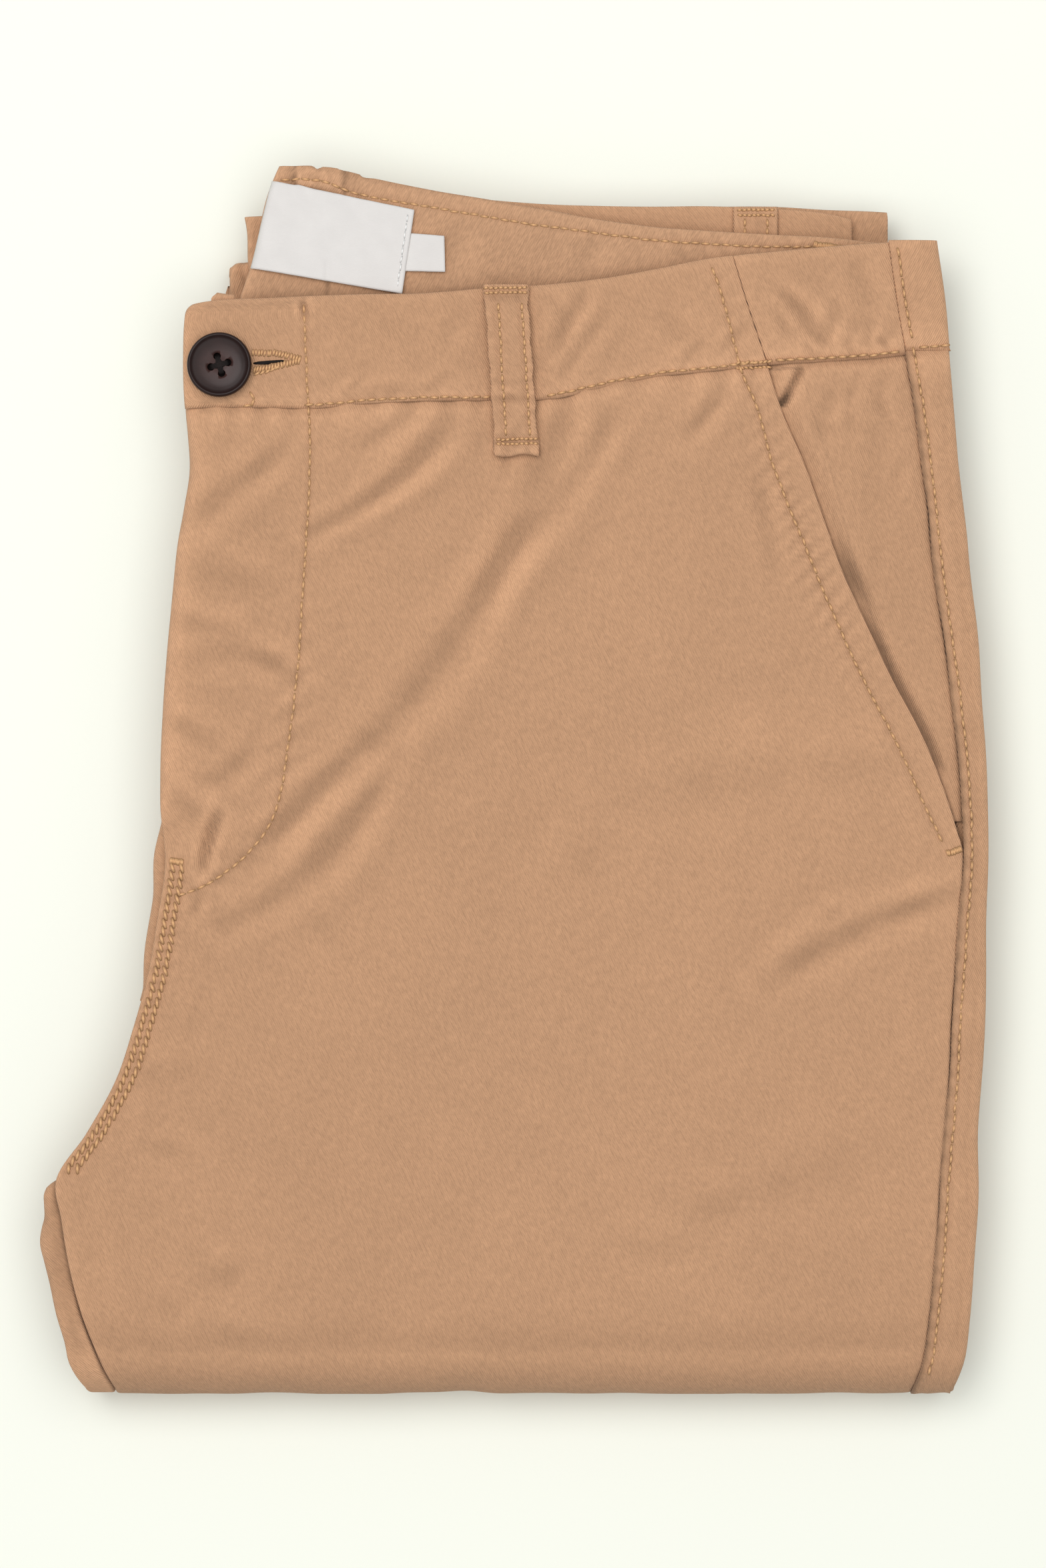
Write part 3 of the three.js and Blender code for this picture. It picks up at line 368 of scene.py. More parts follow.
def front_edges(x, y, left, right, fall):
    """How far the front panel's edges roll down: the left one by fall, the right one into the side seam or,
    less, along the pocket opening."""
    at_seam = np.where(y < POCKET_END_Y, 0.55, 0.12)
    rolls = rolled(x - left, np.clip(1.4 * fall, 1.6, 5.0), fall) + rolled(right - x, 1.4, 0.4)
    return rolls + at_seam * np.exp(-(right - x) / 3.2)


def front_right(y):
    return np.where(y > POCKET_END_Y, np.minimum(pocket_x(y), seam_x(y)), seam_x(y)) - SEAM_GAP


def front_fall(y):
    """How far the left edge rolls down: a little on the leg, and over the layers below it along the fly."""
    return mix(0.55, 3.4, ease((y + 12) / 14))


def front_z(x, y):
    """Top of the front panel where it lies flat."""
    drop = front_edges(x, y, left_x(y), front_right(y), front_fall(y))
    return PILE_TOP - drop + front_relief(x, y) - seam_dip(x, y)


def facing_hollows(x, y):
    """Depth of the hollows beside the pocket opening's edge: one half way down, a longer one near the foot and a
    small deep one at the top."""
    beside = x - pocket_x(y)
    half_way = 1.15 * bell(beside - 2.4, 3.0) * bell(y - 58, 9.0)
    long = 1.0 * bell(beside - 1.2, 1.5) * ease((y + 1) / 7) * ease((52 - y) / 14)
    gap = near_path([(76.6, 107.0), (79.0, 111.5), (81.6, 116.5)], x, y)[0]
    return half_way + long, 2.0 * bell(gap, 1.0) * ease((y - 105) / 3)


def facing_z(x, y):
    """Top of the pocket facing: it lies close under the opening's edge, but for its hollows, and rises towards
    the side seam."""
    beside = x - pocket_x(y)
    height = PILE_TOP - 1.72 + 0.95 * ease((beside - 1.0) / 5) * ease((y - 2) / 18)
    height = height - 1.5 * ease((-0.4 - beside) / 2.5) - sum(facing_hollows(x, y))
    dip = 0.5 * bell(seam_x(y) - x, 2.5) + seam_dip(x, y)
    return height - dip + creased(FACING_CREASES, x, y) + 0.12 * ripple(x, y, 18, 31)


def inside_z(x, y):
    """Top of the inner waistband of the left back, dropping behind the front waistband's top edge."""
    top = waist("inside", x)
    drop = 1.8 * ease((y - waist("band", x) + 7) / 7)
    side = rolled(x - inside_left(y), 2.4, 1.2)
    height = 22.0 - drop - side - rolled(top - y, 2.6, 0.8) + creased(INSIDE_CREASES, x, y)
    under = ease((x + 62.8) / 1.2) * ease((-48.2 - x) / 1.6) * ease((y - top + 6.5) / 2.5)
    height = height + 1.0 * under - 0.35 * bell(x + 53.2, 0.7) * ease((150 - y) / 4)
    return height + sewn(SEWN_LINES["inside"], x, y, 0.32, 0.16, 3.5, 6.5, 7) + 0.1 * ripple(x, y, 22, 32)


def inside_shade(x, y):
    """Darker lines round the centre back loop's folded end and along the vertical seam below the label."""
    top = waist("inside", x)
    ends = bell(x + 62.6, 0.7) + bell(x + 48.4, 0.8)
    fold = bell(y - top + 6.0, 0.8) * ease((x + 63) / 1) * ease((-48 - x) / 1)
    return -1.4 * ends * ease((y - top + 6.5) / 1.5) - 0.7 * fold - 1.2 * bell(x + 53.2, 0.6) * (y < 152)


def back_z(x, y):
    """Top of the right back waistband."""
    return 17.0 - 1.6 * ease((y - 138) / 12) - rolled(waist("back", x) - y, 2.6, 0.6) + 0.08 * ripple(x, y, 20, 33)


def deep_z(x, y):
    """Top of the right front waistband, the lowest layer at the waist."""
    side = rolled(x - deep_left(y), 2.4, 1.3)
    top = rolled(waist("front", x) - y, 2.6, 0.9)
    return 12.2 - 0.4 * ease((y - 148) / 10) - side - top + 0.08 * ripple(x, y, 24, 34)


def around(travel, start_y):
    """Way round the pile: 0-1 down the top, 1-2 round the bottom fold, 2-3 along the underside and 3-4 round
    the small fold at the waist end. Gives y, z and the skin's outward direction there."""
    bend = math.pi * np.clip(travel - 1, 0, 1)
    end = math.pi * np.clip(travel - 3, 0, 1)
    out_y, out_z = -np.sin(bend) / FOLD_DEPTH_Y, np.cos(bend) / HALF_PILE
    size = np.hypot(out_y, out_z)
    parts = [travel <= 1, travel <= 2, travel <= 3]
    down = mix(start_y, FOLD_CENTRE_Y, np.minimum(travel, 1))
    under = mix(FOLD_CENTRE_Y, UNDERSIDE_END_Y, travel - 2)
    y = np.select(
        parts, [down, FOLD_CENTRE_Y - FOLD_DEPTH_Y * np.sin(bend), under],
        UNDERSIDE_END_Y + END_FOLD_RADIUS * np.sin(end),
    )
    z = np.select(
        parts, [PILE_TOP + 0 * travel, HALF_PILE * (1 + np.cos(bend)), 0 * travel],
        END_FOLD_RADIUS * (1 - np.cos(end)),
    )
    ny = np.select(parts, [0 * travel, out_y / size, 0 * travel], np.sin(end))
    nz = np.select(parts, [1 + 0 * travel, out_z / size, 0 * travel - 1], -np.cos(end))
    return y, z, ny, nz


def on_pile(x, travel, start_y, drop):
    """Points sunk by drop below the pile's skin."""
    y, z, ny, nz = around(travel, start_y)
    return np.stack([x + 0 * y, y - drop * ny, z - drop * nz], -1)


def narrowed(travel):
    """How far the lower leg's left and right edges come in on the underside."""
    part = np.clip(travel - 2, 0, 1)
    return 36 * part**0.7, 9 * part


ROLL_STEPS = np.array([0, 0.2, 0.5, 0.9, 1.4, 2.0, 2.8, 3.8, 5.0])
EDGE_STEPS = np.array([0, 0.3, 0.8, 1.6, 2.6])


def spread(left, right, count, near_left=ROLL_STEPS, near_right=EDGE_STEPS):
    """Columns from left to right: some at set distances from both edges, and even ones between them."""
    part = np.concatenate([0 * near_left, np.linspace(0, 1, count + 2)[1:-1], 0 * near_right + 1])
    shift = np.concatenate([near_left - near_left[-1], np.zeros(count), (near_right[-1] - near_right)[::-1]])
    return mix(left + near_left[-1], right - near_right[-1], part[None]) + shift


def travels(*counts):
    """Rows along the way round, with its own number of steps for each stretch."""
    return np.concatenate([[0]] + [n + np.arange(1, count + 1) / count for n, count in enumerate(counts)])[:, None]


def standing_out(skin, inward, reach):
    """How far a point stands out from the mean of its neighbours reach steps away, in millimetres."""
    row, col = np.indices(skin.shape[:2])
    top, side = skin.shape[0] - 1, skin.shape[1] - 1
    mean = (
        skin[np.clip(row - reach, 0, top), col] + skin[np.clip(row + reach, 0, top), col]
        + skin[row, np.clip(col - reach, 0, side)] + skin[row, np.clip(col + reach, 0, side)]
    ) / 4
    return ((mean - skin) * inward).sum(-1)


def put_mesh(name, points, faces, uv=None, wear_and_painted_shade=None):
    """Smooth closed mesh object at the origin, from points in millimetres."""
    mesh = bpy.data.meshes.new(name)
    mesh.from_pydata((np.asarray(points) * MM).tolist(), [], [list(face) for face in faces])
    mesh.polygons.foreach_set("use_smooth", np.ones(len(mesh.polygons), bool))
    if uv is not None:
        corners = np.empty(len(mesh.loops), np.int32)
        mesh.loops.foreach_get("vertex_index", corners)
        mesh.uv_layers.new(name="UVMap").data.foreach_set("uv", (uv[corners] * MM).astype(np.float32).ravel())
    if wear_and_painted_shade is not None:
        mesh.attributes.new("wear_and_painted_shade", "FLOAT", "POINT").data.foreach_set("value", wear_and_painted_shade.astype(np.float32))
    mesh.update()
    piece = bpy.data.objects.new(name, mesh)
    bpy.context.scene.collection.objects.link(piece)
    return piece


def cloth(name, skin, wall, grain=0.0, shade=0.0, bulge=0.12, gain=1.6):
    """Closed cloth from a grid of outer points, rows down the garment and columns to the right. The inner face
    is the grid moved in along its normals by wall, and the rim is rounded by bulge of it. The UV map is the
    distance along rows and columns, turned by grain degrees. The colour attribute is how far a point stands
    out, scaled by gain: lighter on ridges, which rub, and painted shade in troughs. shade adds painted shade
    lines and patches, and the rim is made lighter."""
    rows, cols = skin.shape[:2]
    across, downwards = np.gradient(skin, axis=1), np.gradient(skin, axis=0)
    inward = np.cross(across, downwards)
    inward /= np.maximum(np.linalg.norm(inward, axis=-1, keepdims=True), 1e-9)
    under = skin + inward * (np.zeros((rows, cols)) + wall)[..., None]
    count = rows * cols
    index = np.arange(count).reshape(rows, cols)
    rim = np.concatenate([index[0], index[1:, -1], index[-1, -2::-1], index[-2:0:-1, 0]])
    within = np.concatenate([index[1], index[1:, -2], index[-2, -2::-1], index[-2:0:-1, 1]])
    outer_points, inner_points = skin.reshape(-1, 3), under.reshape(-1, 3)
    outwards = outer_points[rim] - outer_points[within]
    outwards /= np.maximum(np.linalg.norm(outwards, axis=-1, keepdims=True), 1e-9)
    thickness = np.linalg.norm(outer_points[rim] - inner_points[rim], axis=-1, keepdims=True)
    ring = (outer_points[rim] + inner_points[rim]) / 2 + outwards * bulge * thickness
    a, b, c, d = index[:-1, :-1], index[1:, :-1], index[1:, 1:], index[:-1, 1:]
    following = np.roll(rim, -1)
    middle = 2 * count + np.arange(len(rim))
    middle_next = np.roll(middle, -1)
    faces = np.concatenate(
        [
            np.stack([a, b, c, d], -1).reshape(-1, 4),
            np.stack([a, d, c, b], -1).reshape(-1, 4) + count,
            np.stack([rim, following, middle_next, middle], -1),
            np.stack([middle, middle_next, following + count, rim + count], -1),
        ]
    )
    step_u = np.linalg.norm(np.diff(skin, axis=1), axis=-1)
    step_v = np.linalg.norm(np.diff(skin, axis=0), axis=-1)
    u = np.concatenate([np.zeros((rows, 1)), np.cumsum(step_u, axis=1)], axis=1)
    u = u - u[:, -1:] + skin[:, -1:, 0].clip(-150, 150)
    v = -np.concatenate([np.zeros((1, cols)), np.cumsum(step_v, axis=0)], axis=0)
    turn = math.radians(grain)
    flat = np.stack([u * math.cos(turn) - v * math.sin(turn), u * math.sin(turn) + v * math.cos(turn)], -1)
    flat = flat.reshape(-1, 2)
    # Tone from shape: ridges lighter, as rubbed cloth is, and troughs darker as painted shade; then the painted shade
    # lines and patches of shade
    worn_and_shaded = standing_out(skin, inward, 2) * gain + 0.5 * gain * standing_out(skin, inward, 5)
    worn_and_shaded = (np.clip(worn_and_shaded, -1, 1) + shade).reshape(-1)
    points = np.concatenate([outer_points, inner_points, ring])
    uv = np.concatenate([flat, flat, flat[rim]])
    # The rim is made lighter; the inner face has none of this tone
    wear_and_painted_shade = np.concatenate([worn_and_shaded, np.zeros(count), worn_and_shaded[rim] + 0.35])
    return put_mesh(name, points, faces, uv, wear_and_painted_shade)


def box_cloth(name, place, steps):
    """Closed body from place(i, j, k) on the six faces of a unit box, whose shared edges are merged."""
    points, faces, count = [], [], 0
    for axis in range(3):
        for high in (0, 1):
            first, second = [other for other in range(3) if other != axis]
            grid = [None] * 3
            grid[first], grid[second] = np.meshgrid(
                np.linspace(0, 1, steps[first] + 1), np.linspace(0, 1, steps[second] + 1), indexing="ij"
            )
            grid[axis] = np.full(grid[first].shape, float(high))
            index = count + np.arange(grid[first].size).reshape(grid[first].shape)
            points.append(place(*grid).reshape(-1, 3))
            count += grid[first].size
            quads = np.stack([index[:-1, :-1], index[1:, :-1], index[1:, 1:], index[:-1, 1:]], -1).reshape(-1, 4)
            faces.append(quads if bool(high) == (axis != 1) else quads[:, ::-1])
    points, faces = np.concatenate(points), np.concatenate(faces)
    _, keep, merged = np.unique(np.round(points, 4), axis=0, return_index=True, return_inverse=True)
    merged = merged.reshape(-1)
    uv = points[keep][:, :2] + points[keep][:, 2:] * 0.7
    return put_mesh(name, points[keep], merged[faces], uv, np.zeros(len(keep)))


def front_skin():
    """Left front, from the waist seam round the bottom fold and along under the pile to its waist end."""
    travel = travels(206, 16, 12, 6)
    at_seam = spread(np.full((1, 1), -93.7), pocket_x(np.full((1, 1), 118.0)), 170)
    start_y = waist("seam", at_seam) + SEAM_TUCK
    y = around(travel, start_y)[0]
    y = np.where(travel > 1, np.minimum(y, FOLD_CENTRE_Y), y)
    in_left, in_right = narrowed(travel)
    left, right = left_x(y) + in_left, front_right(y) - in_right
    x = spread(left, right, 170)
    drop = front_edges(x, y, left, right, np.where(travel > 1, 0.55, front_fall(y)))
    turned = ease((travel - 1) / 0.25)
    path = around(travel, start_y)[0]
    hidden = 0.3 + 0.3 * ripple(x, path * 0.3, 30, 41) + 0.6 * bell(x - 20 - path * 0.2, 7)
    hidden = hidden + 0.5 * bell(x + 40 + path * 0.16, 6) + 0.08 * ripple(x, path, 14, 42)
    drop = drop - front_relief(x, y) * (1 - turned) + np.maximum(hidden, UNDERSIDE_LIFT) * turned + seam_dip(x, y)
    shade = -1.5 * ease((-150 - around(travel, start_y)[0]) / 24) * (travel < 1.6)
    shade = shade - 1.8 * bell(right - x, 0.6) * (y < POCKET_END_Y)
    for line in ("fly", "pocket"):
        shade = shade - 0.3 * bell(near_path(SEWN_LINES[line], x, y)[0], 0.9) * (travel < 1)
    return on_pile(x, travel, start_y, drop), shade


WRAP_REACH = 3.6
WRAP_RETURN = 9.0


def wrap_columns(seam_distance, fall, arc=18):
    """Section over an edge: in from the seam on top, half an ellipse round the edge, and a short return below.
    Gives how far in from the edge each column is, and how far below the skin."""
    part = np.array([[0, 0.04, 0.1, 0.2, 0.35, 0.55, 0.78]])
    angle = np.linspace(0, math.pi, arc + 1)[None]
    back = np.linspace(0, 1, 5)[None, 1:]
    zero = 0 * seam_distance
    inward = [mix(seam_distance, WRAP_REACH + zero, part), WRAP_REACH * (1 - np.sin(angle)) + zero]
    inward.append(mix(WRAP_REACH, WRAP_RETURN, back) + zero)
    slope = 1.1
    fallen = [0.55 * np.exp(-part * 4) + slope * part**2 + zero]
    fallen += [slope + (fall - slope) / 2 * (1 - np.cos(angle)) + zero, fall + 0 * back + zero]
    return np.concatenate(inward, axis=1), np.concatenate(fallen, axis=1)


def back_skin():
    """Left back beside the side seam: over the pile's right edge and a little way under."""
    travel = travels(200, 16, 30)
    start_y = waist("seam", np.full((1, 1), 120.0)) + SEAM_TUCK
    y = around(travel, start_y)[0]
    y = np.where(travel > 1, np.minimum(y, FOLD_CENTRE_Y), y)
    in_right = narrowed(travel)[1]
    right, seam = right_x(y) - in_right, seam_x(y) - in_right
    inward, fallen = wrap_columns(right - seam, 5.0)
    x = right - inward - 0.25 * (1 + ripple(y, 0 * y, 34, 51))
    near_seam = bell(x - seam, 3.0)
    pucker = 0.2 * near_seam * np.sin(y / 0.95 + 1.8 * np.sin(y / 12.0)) + 0.2 * ripple(x, y, 22, 52)
    dent = 0.25 * bell(x - seam - 2.3, 0.9)
    top = fallen < 3
    shade = -2.4 * bell(x - seam, 0.7) * top - 1.3 * ease((-150 - y) / 24)
    skin = on_pile(x, travel, start_y, fallen - pucker * top + dent * top + seam_dip(x, y) * top)
    skin[..., 1] += 0.65 * fallen * around(travel, start_y)[2] * (travel < 2)
    return skin, shade


STRIP_STEPS = np.concatenate([[0, 0.15, 0.4, 0.8], np.linspace(1.3, 13.0, 24)])


def inseam_skin():
    """Left back at the inseam: the edge that bulges out from under the front panel, and round the bottom fold."""
    travel = travels(90, 18)
    y = around(travel, -64.0)[0]
    out = along(INSEAM, "y", "out", y)
    left = left_x(y) - out
    x = left + STRIP_STEPS[None]
    beside = x - left
    level = ease((travel - 0.75) / 0.2) * ease((np.maximum(out, 6.0) + 0.3 - beside) / 1.2)
    drop = 2.9 - 2.3 * level + rolled(beside, mix(4.0, 1.8, level), mix(2.6, 1.2, level))
    drop = drop - 0.2 * ripple(x, y, 12, 61) * ease(beside / 3) * (travel < 1.2)
    shade = -0.5 - 2.0 * bell(np.maximum(out - beside, 0), 0.9) * (travel < 1.4)
    return on_pile(x, travel, -64.0, drop), shade


def sliver_skin():
    """Right front, of which a narrow edge shows beside the crotch."""
    y = np.linspace(-12, -63.4, 44)[:, None]
    left = left_x(y) - along(SLIVER, "y", "out", y)
    x = left + STRIP_STEPS[None]
    z = PILE_TOP - 3.5 - rolled(x - left, 4.0, 2.6) + 0.12 * ripple(x, y, 14, 62)
    return np.stack([x, y + 0 * x, z], -1)


def facing_skin():
    """Pocket facing, from the side seam in under the front panel."""
    part = np.linspace(0, 1, 150)[:, None]
    across = np.linspace(0, 1, 64)[None]
    y = mix(waist("seam", mix(70, 112, across)) + SEAM_TUCK, -12, part)
    left = np.minimum(pocket_x(y) - 9, seam_x(y) - 14)
    x = mix(left, seam_x(y) - SEAM_GAP, across)
    hollow, slot = facing_hollows(x, y)
    beside = x - pocket_x(y)
    shade = -1.5 * hollow - (0.4 + 1.6 * ease((112 - y) / 4)) * slot - 1.2 * bell(np.maximum(beside, 0), 0.8)
    shade = shade - 1.8 * bell(seam_x(y) - x, 0.8)
    return np.stack([x, y, facing_z(x, y)], -1), shade


def band_skin(left, right, low_x, high_x, tuck, top, rows, columns, height):
    """Flat band between two sides, from tuck above the waist seam, read from low_x to high_x, up to its top
    line, with closer rows and columns at the edges. height gives its surface at x, y."""
    width = float(right(130.0) - left(130.0))
    part = spread(np.zeros((1, 1)), np.full((1, 1), width), columns, EDGE_STEPS, EDGE_STEPS) / width
    up = 1 - np.linspace(0, 1, rows)[:, None]
    top_y = top(mix(left(150.0), right(150.0), part))
    bottom = waist("seam", mix(low_x, high_x, part)) + tuck
    y = mix(bottom, top_y, 1 - (1 - up) ** 1.5)
    x = mix(left(y), right(y), part)
    return np.stack([x, y, height(x, y, top_y)], -1)


def band_wall(skin, wall):
    """Thickness of a waistband piece, thin at its lower edge, where the panels pass in under it."""
    return mix(0.32, wall, ease((skin[..., 1] - waist("seam", skin[..., 0]) - 0.5) / 4.5))


def band_left(y):
    """Left end of the outer waistband, rounded at its top corner."""
    return np.minimum(left_x(y), -92.6) + 4.2 * ease((y - 130.5) / 7.5) ** 3


def band_top(x):
    return waist("band", x)


def pocket_gap(y):
    """The front panel's side of the pocket line."""
    return pocket_x(y) - SEAM_GAP


def seam_gap(y):
    """The front's side of the side seam."""
    return seam_x(y) - SEAM_GAP


def front_band_skin():
    """Front stretch of the outer waistband, rounded at its left end and sunk at the pocket line."""

    def height(x, y, top):
        end = rolled(x - band_left(y), 3.0, 1.3)
        side = 0.5 * np.exp(-(np.abs(pocket_x(y) - x) / 1.0))
        return band_z(x, y) - rolled(top - y, 3.0, 1.4) - end - side

    return band_skin(band_left, pocket_gap, -94, 72, 0, band_top, 42, 150, height)


def side_band_skin():
    """Side stretch of the outer waistband, sunk at both of its seams."""

    def height(x, y, top):
        side = 0.5 * np.exp(-(np.abs(pocket_x(y) - x) / 1.0)) + 0.5 * np.exp(-(np.abs(seam_x(y) - x) / 1.2))
        low = 0.7 * bell(y - waist("seam", x), 2.2)
        return band_z(x, y) - rolled(top - y, 3.0, 1.4) - side - low

    return band_skin(pocket_x, seam_gap, 72, 112, 0, band_top, 36, 36, height)


def back_band_skin():
    """Waistband over the pile's right edge and a little way under."""
    part = np.linspace(0, 1, 30)[:, None]
    bottom, top = waist("seam", 120.0), waist("band", 116.0)
    y = mix(bottom, top, 1 - part**1.5)
    inward, fallen = wrap_columns(right_x(y) - seam_x(y), 5.6)
    edge = rolled(top - y, 3.0, 0.9)
    squeeze = edge * np.clip(1 - fallen / 2.8, -1, 1)
    x = right_x(y) - inward
    wave = (0.15 * ripple(x, y, 14, 53) - 1.0 * bell(y - bottom, 1.4)) * (fallen < 3)
    return np.stack([x, y + 0 * x, BAND_TOP_Z - fallen - squeeze + wave], -1)


def layer_band_skin(left, right, name, z, columns):
    """Waistband layer behind the front one, whose height z gives and whose sides are x or functions of y."""
    notch = 0.8 if name == "inside" else 0.0

    def side(edge):
        return edge if callable(edge) else lambda y: edge + 0 * y

    def top(x):
        fold = notch * bell(x + 62.7, 0.9)
        return waist(name, x) - fold - 0.6 * notch * ease((x + 49) / 0.8) * ease((-44 - x) / 4)

    def height(x, y, top_y):
        return z(x, y)

    low_x = LAYER_LOW_X[name]
    return band_skin(side(left), side(right), low_x, right, LAYER_TUCK, top, 40, columns, height)


LAYER_LOW_X = {"inside": -79, "back": -54, "front": -88}
LAYER_TUCK = 1.6
INSIDE_LEFT = table("y x", (113, -79), (140, -77.5), (146, -75.4), (170, -69.4), (175.4, -67.1))
DEEP_LEFT = table(
    "y x", (105, -88), (126, -88), (133, -79), (138, -76.4), (150, -76.6), (159, -77.0), (162.5, -77.7)
)


def patch_skin(corners, columns, rows, height, puff=0.0):
    """Four-cornered piece over a height function, its middle raised by puff. Corners run from the lower left."""
    across = np.linspace(0, 1, columns + 1)[None]
    up = 1 - np.linspace(0, 1, rows + 1)[:, None]
    (ax, ay), (bx, by), (cx, cy), (dx, dy) = corners
    x = mix(mix(ax, bx, across), mix(dx, cx, across), up)
    y = mix(mix(ay, by, across), mix(dy, cy, across), up)
    crown = puff * (1 - (2 * across - 1) ** 4) * (1 - (2 * up - 1) ** 4)
    return np.stack([x, y, height(x, y) + crown], -1)


LAYERS_RIGHT = np.array([6.5, 3.2, 4.6, 2.4])
LAYERS_LEFT = np.array([9.8, 7.8, 9.4, 8.4])
CORE_START_Y = -168.2
CORE_END_Y = 144.5


def layered(k, insets, y, wander):
    """How far each folded layer's edge lies in, rounded between layers and wandering along the leg."""
    layer = np.minimum((k * 4).astype(int), 3)
    local = (k * 4 - layer) * 2 - 1
    drift = wander * (1 + np.sin(y / (23 + 4 * layer) + 2.1 * layer)) / 2
    return insets[layer] + drift + 2.3 * (1 - np.sqrt(np.clip(1 - 0.97 * local**2, 0, 1)))


def core_place(i, j, k):
    """Leg layers that are folded inside: a flat body whose sides and ends bulge once for each layer, stepping
    down along the waist seam, where the waistband layers begin."""
    y = mix(CORE_START_Y, CORE_END_Y, j)
    at_waist = ease((y - 80) / 15)
    left = left_x(y) + layered(k, LAYERS_LEFT, y, 1.4)
    right = right_x(y) - layered(k, LAYERS_RIGHT, y, 1.2) - 20 * at_waist
    x = mix(left, right, i)
    from_edge = ease((np.minimum(x - left, right - x) - 11) / 12)
    step = ease((y - waist("seam", mix(-86, 102, i)) + 4) / 5)
    top = np.minimum(mix(19.1, 20.9, from_edge), mix(20.9, 5.4, step))
    low = mix(mix(5.5, 4.2, ease((y - 100) / 8)), 1.9, from_edge)
    end = np.where(j <= 0, 0.72, 1.0)
    middle = (top + low) / 2
    z = middle + (mix(low, top, k) - middle) * end
    y = y - np.where(j >= 1, layered(k, np.array([0, 1.4, 0.6, 2.2]), x, 1.2), 0)
    y = y + np.where(j <= 0, layered(k, np.array([1.2, 0, 0.4, 1.0]), x, 0.6), 0)
    return np.stack([x, y, z], -1)


def thread_runs(name, runs, thickness):
    """Sewing stitches. A run is (centres, directions, length, height): each stitch is a six-sided tube that
    arches out of the cloth along its direction and sinks in at both ends."""
    part = np.array([-1, -0.76, 0, 0.76, 1.0])
    radius = np.array([0.7, 0.95, 1.0, 0.95, 0.7]) * thickness / 2
    lift = np.array([-0.25, 0.12, 0.42, 0.12, -0.25]) * thickness
    turn = np.linspace(0, 2 * math.pi, 6, endpoint=False)
    ring = np.arange(6)
    faces = [
        np.stack([s * 6 + ring, s * 6 + (ring + 1) % 6, (s + 1) * 6 + (ring + 1) % 6, (s + 1) * 6 + ring], -1)
        for s in range(4)
    ]
    ends = np.array([[0, 5, 4, 3], [3, 2, 1, 0], [24, 25, 26, 27], [27, 28, 29, 24]])
    template = np.concatenate(faces + [ends])
    points, quads, count = [], [], 0
    for centres, directions, length, height in runs:
        along_x = centres[:, None, 0] + directions[:, None, 0] * part * length / 2
        along_y = centres[:, None, 1] + directions[:, None, 1] * part * length / 2
        ends_z = height(along_x[:, [0, 2, 4]], along_y[:, [0, 2, 4]])
        straight = mix(ends_z[:, :1], ends_z[:, 2:], (part + 1) / 2)
        surface = np.maximum(straight, mix(straight, ends_z[:, 1:2], 1 - np.abs(part)))
        side_x, side_y = -directions[:, None, None, 1], directions[:, None, None, 0]
        round_x = radius[None, :, None] * np.cos(turn)
        x = along_x[..., None] + side_x * round_x
        y = along_y[..., None] + side_y * round_x
        z = (surface + lift)[..., None] + radius[None, :, None] * np.sin(turn)
        points.append(np.stack([x, y, z], -1).reshape(-1, 3))
        number = len(centres)
        quads.append((template[None] + (count + 30 * np.arange(number))[:, None, None]).reshape(-1, 4))
        count += 30 * number
    points = np.concatenate(points)
    # painted shade towards both ends of each stitch, where it sinks into the cloth, and a lighter crown
    wear_and_painted_shade = np.tile(np.repeat([-1.0, -0.75, 0.35, -0.75, -1.0], 6), len(points) // 30)
    return put_mesh(name, points, np.concatenate(quads), points[:, :2], wear_and_painted_shade)


def row_of(path, pitch, length, height, slant=0.0, seed=0):
    """Stitches along a path: one each pitch, turned by slant degrees, with a little unevenness."""
    line = even_path(path, pitch)
    way = np.diff(line, axis=0)
    way /= np.linalg.norm(way, axis=1, keepdims=True)
    centres = (line[1:] + line[:-1]) / 2
    draw = np.random.default_rng(seed)
    turn = np.radians(slant + draw.normal(0, 3.0 if slant == 0 else 5.0, len(way)))
    directions = np.stack(
        [
            way[:, 0] * np.cos(turn) - way[:, 1] * np.sin(turn),
            way[:, 0] * np.sin(turn) + way[:, 1] * np.cos(turn),
        ],
        -1,
    )
    centres = centres + draw.normal(0, 0.07, centres.shape)
    return centres, directions, length, height


def bar(start, end, height, width=2.2, seed=0):
    """Bartack: close stitches laid across a short line."""
    return row_of([start, end], 0.46, width, height, 90, seed)


def turned_piece(name, profile, centre, base, segments):
    """Piece turned round the vertical: a profile of (radius, height) carried round, its poles closed."""
    profile = np.array(profile, float)
    angle = np.linspace(0, 2 * math.pi, segments, endpoint=False)
    body = profile[1:-1]
    x = centre[0] + body[:, None, 0] * np.cos(angle)
    y = centre[1] + body[:, None, 0] * np.sin(angle)
    z = base + body[:, None, 1] + 0 * angle
    grid = np.stack([x, y, z], -1).reshape(-1, 3)
    poles = np.array([[centre[0], centre[1], base + profile[0, 1]], [centre[0], centre[1], base + profile[-1, 1]]])
    index = np.arange(len(grid)).reshape(len(body), segments)
    following = np.roll(index, -1, axis=1)
    sides = np.stack([index[:-1], following[:-1], following[1:], index[1:]], -1).reshape(-1, 4)
    low = np.stack([following[0], index[0], np.full(segments, len(grid))], -1)
    high = np.stack([index[-1], following[-1], np.full(segments, len(grid) + 1)], -1)
    return put_mesh(name, np.concatenate([grid, poles]), [*sides, *low, *high])


def cut_by(piece, cutter):
    """Takes the cutter's shape out of the piece and removes the cutter."""
    cut = piece.modifiers.new("holes", "BOOLEAN")
    cut.object = cutter
    cut.solver = "EXACT"
    graph = bpy.context.evaluated_depsgraph_get()
    result = bpy.data.meshes.new_from_object(piece.evaluated_get(graph))
    piece.modifiers.clear()
    piece.data = result
    bpy.data.objects.remove(cutter)


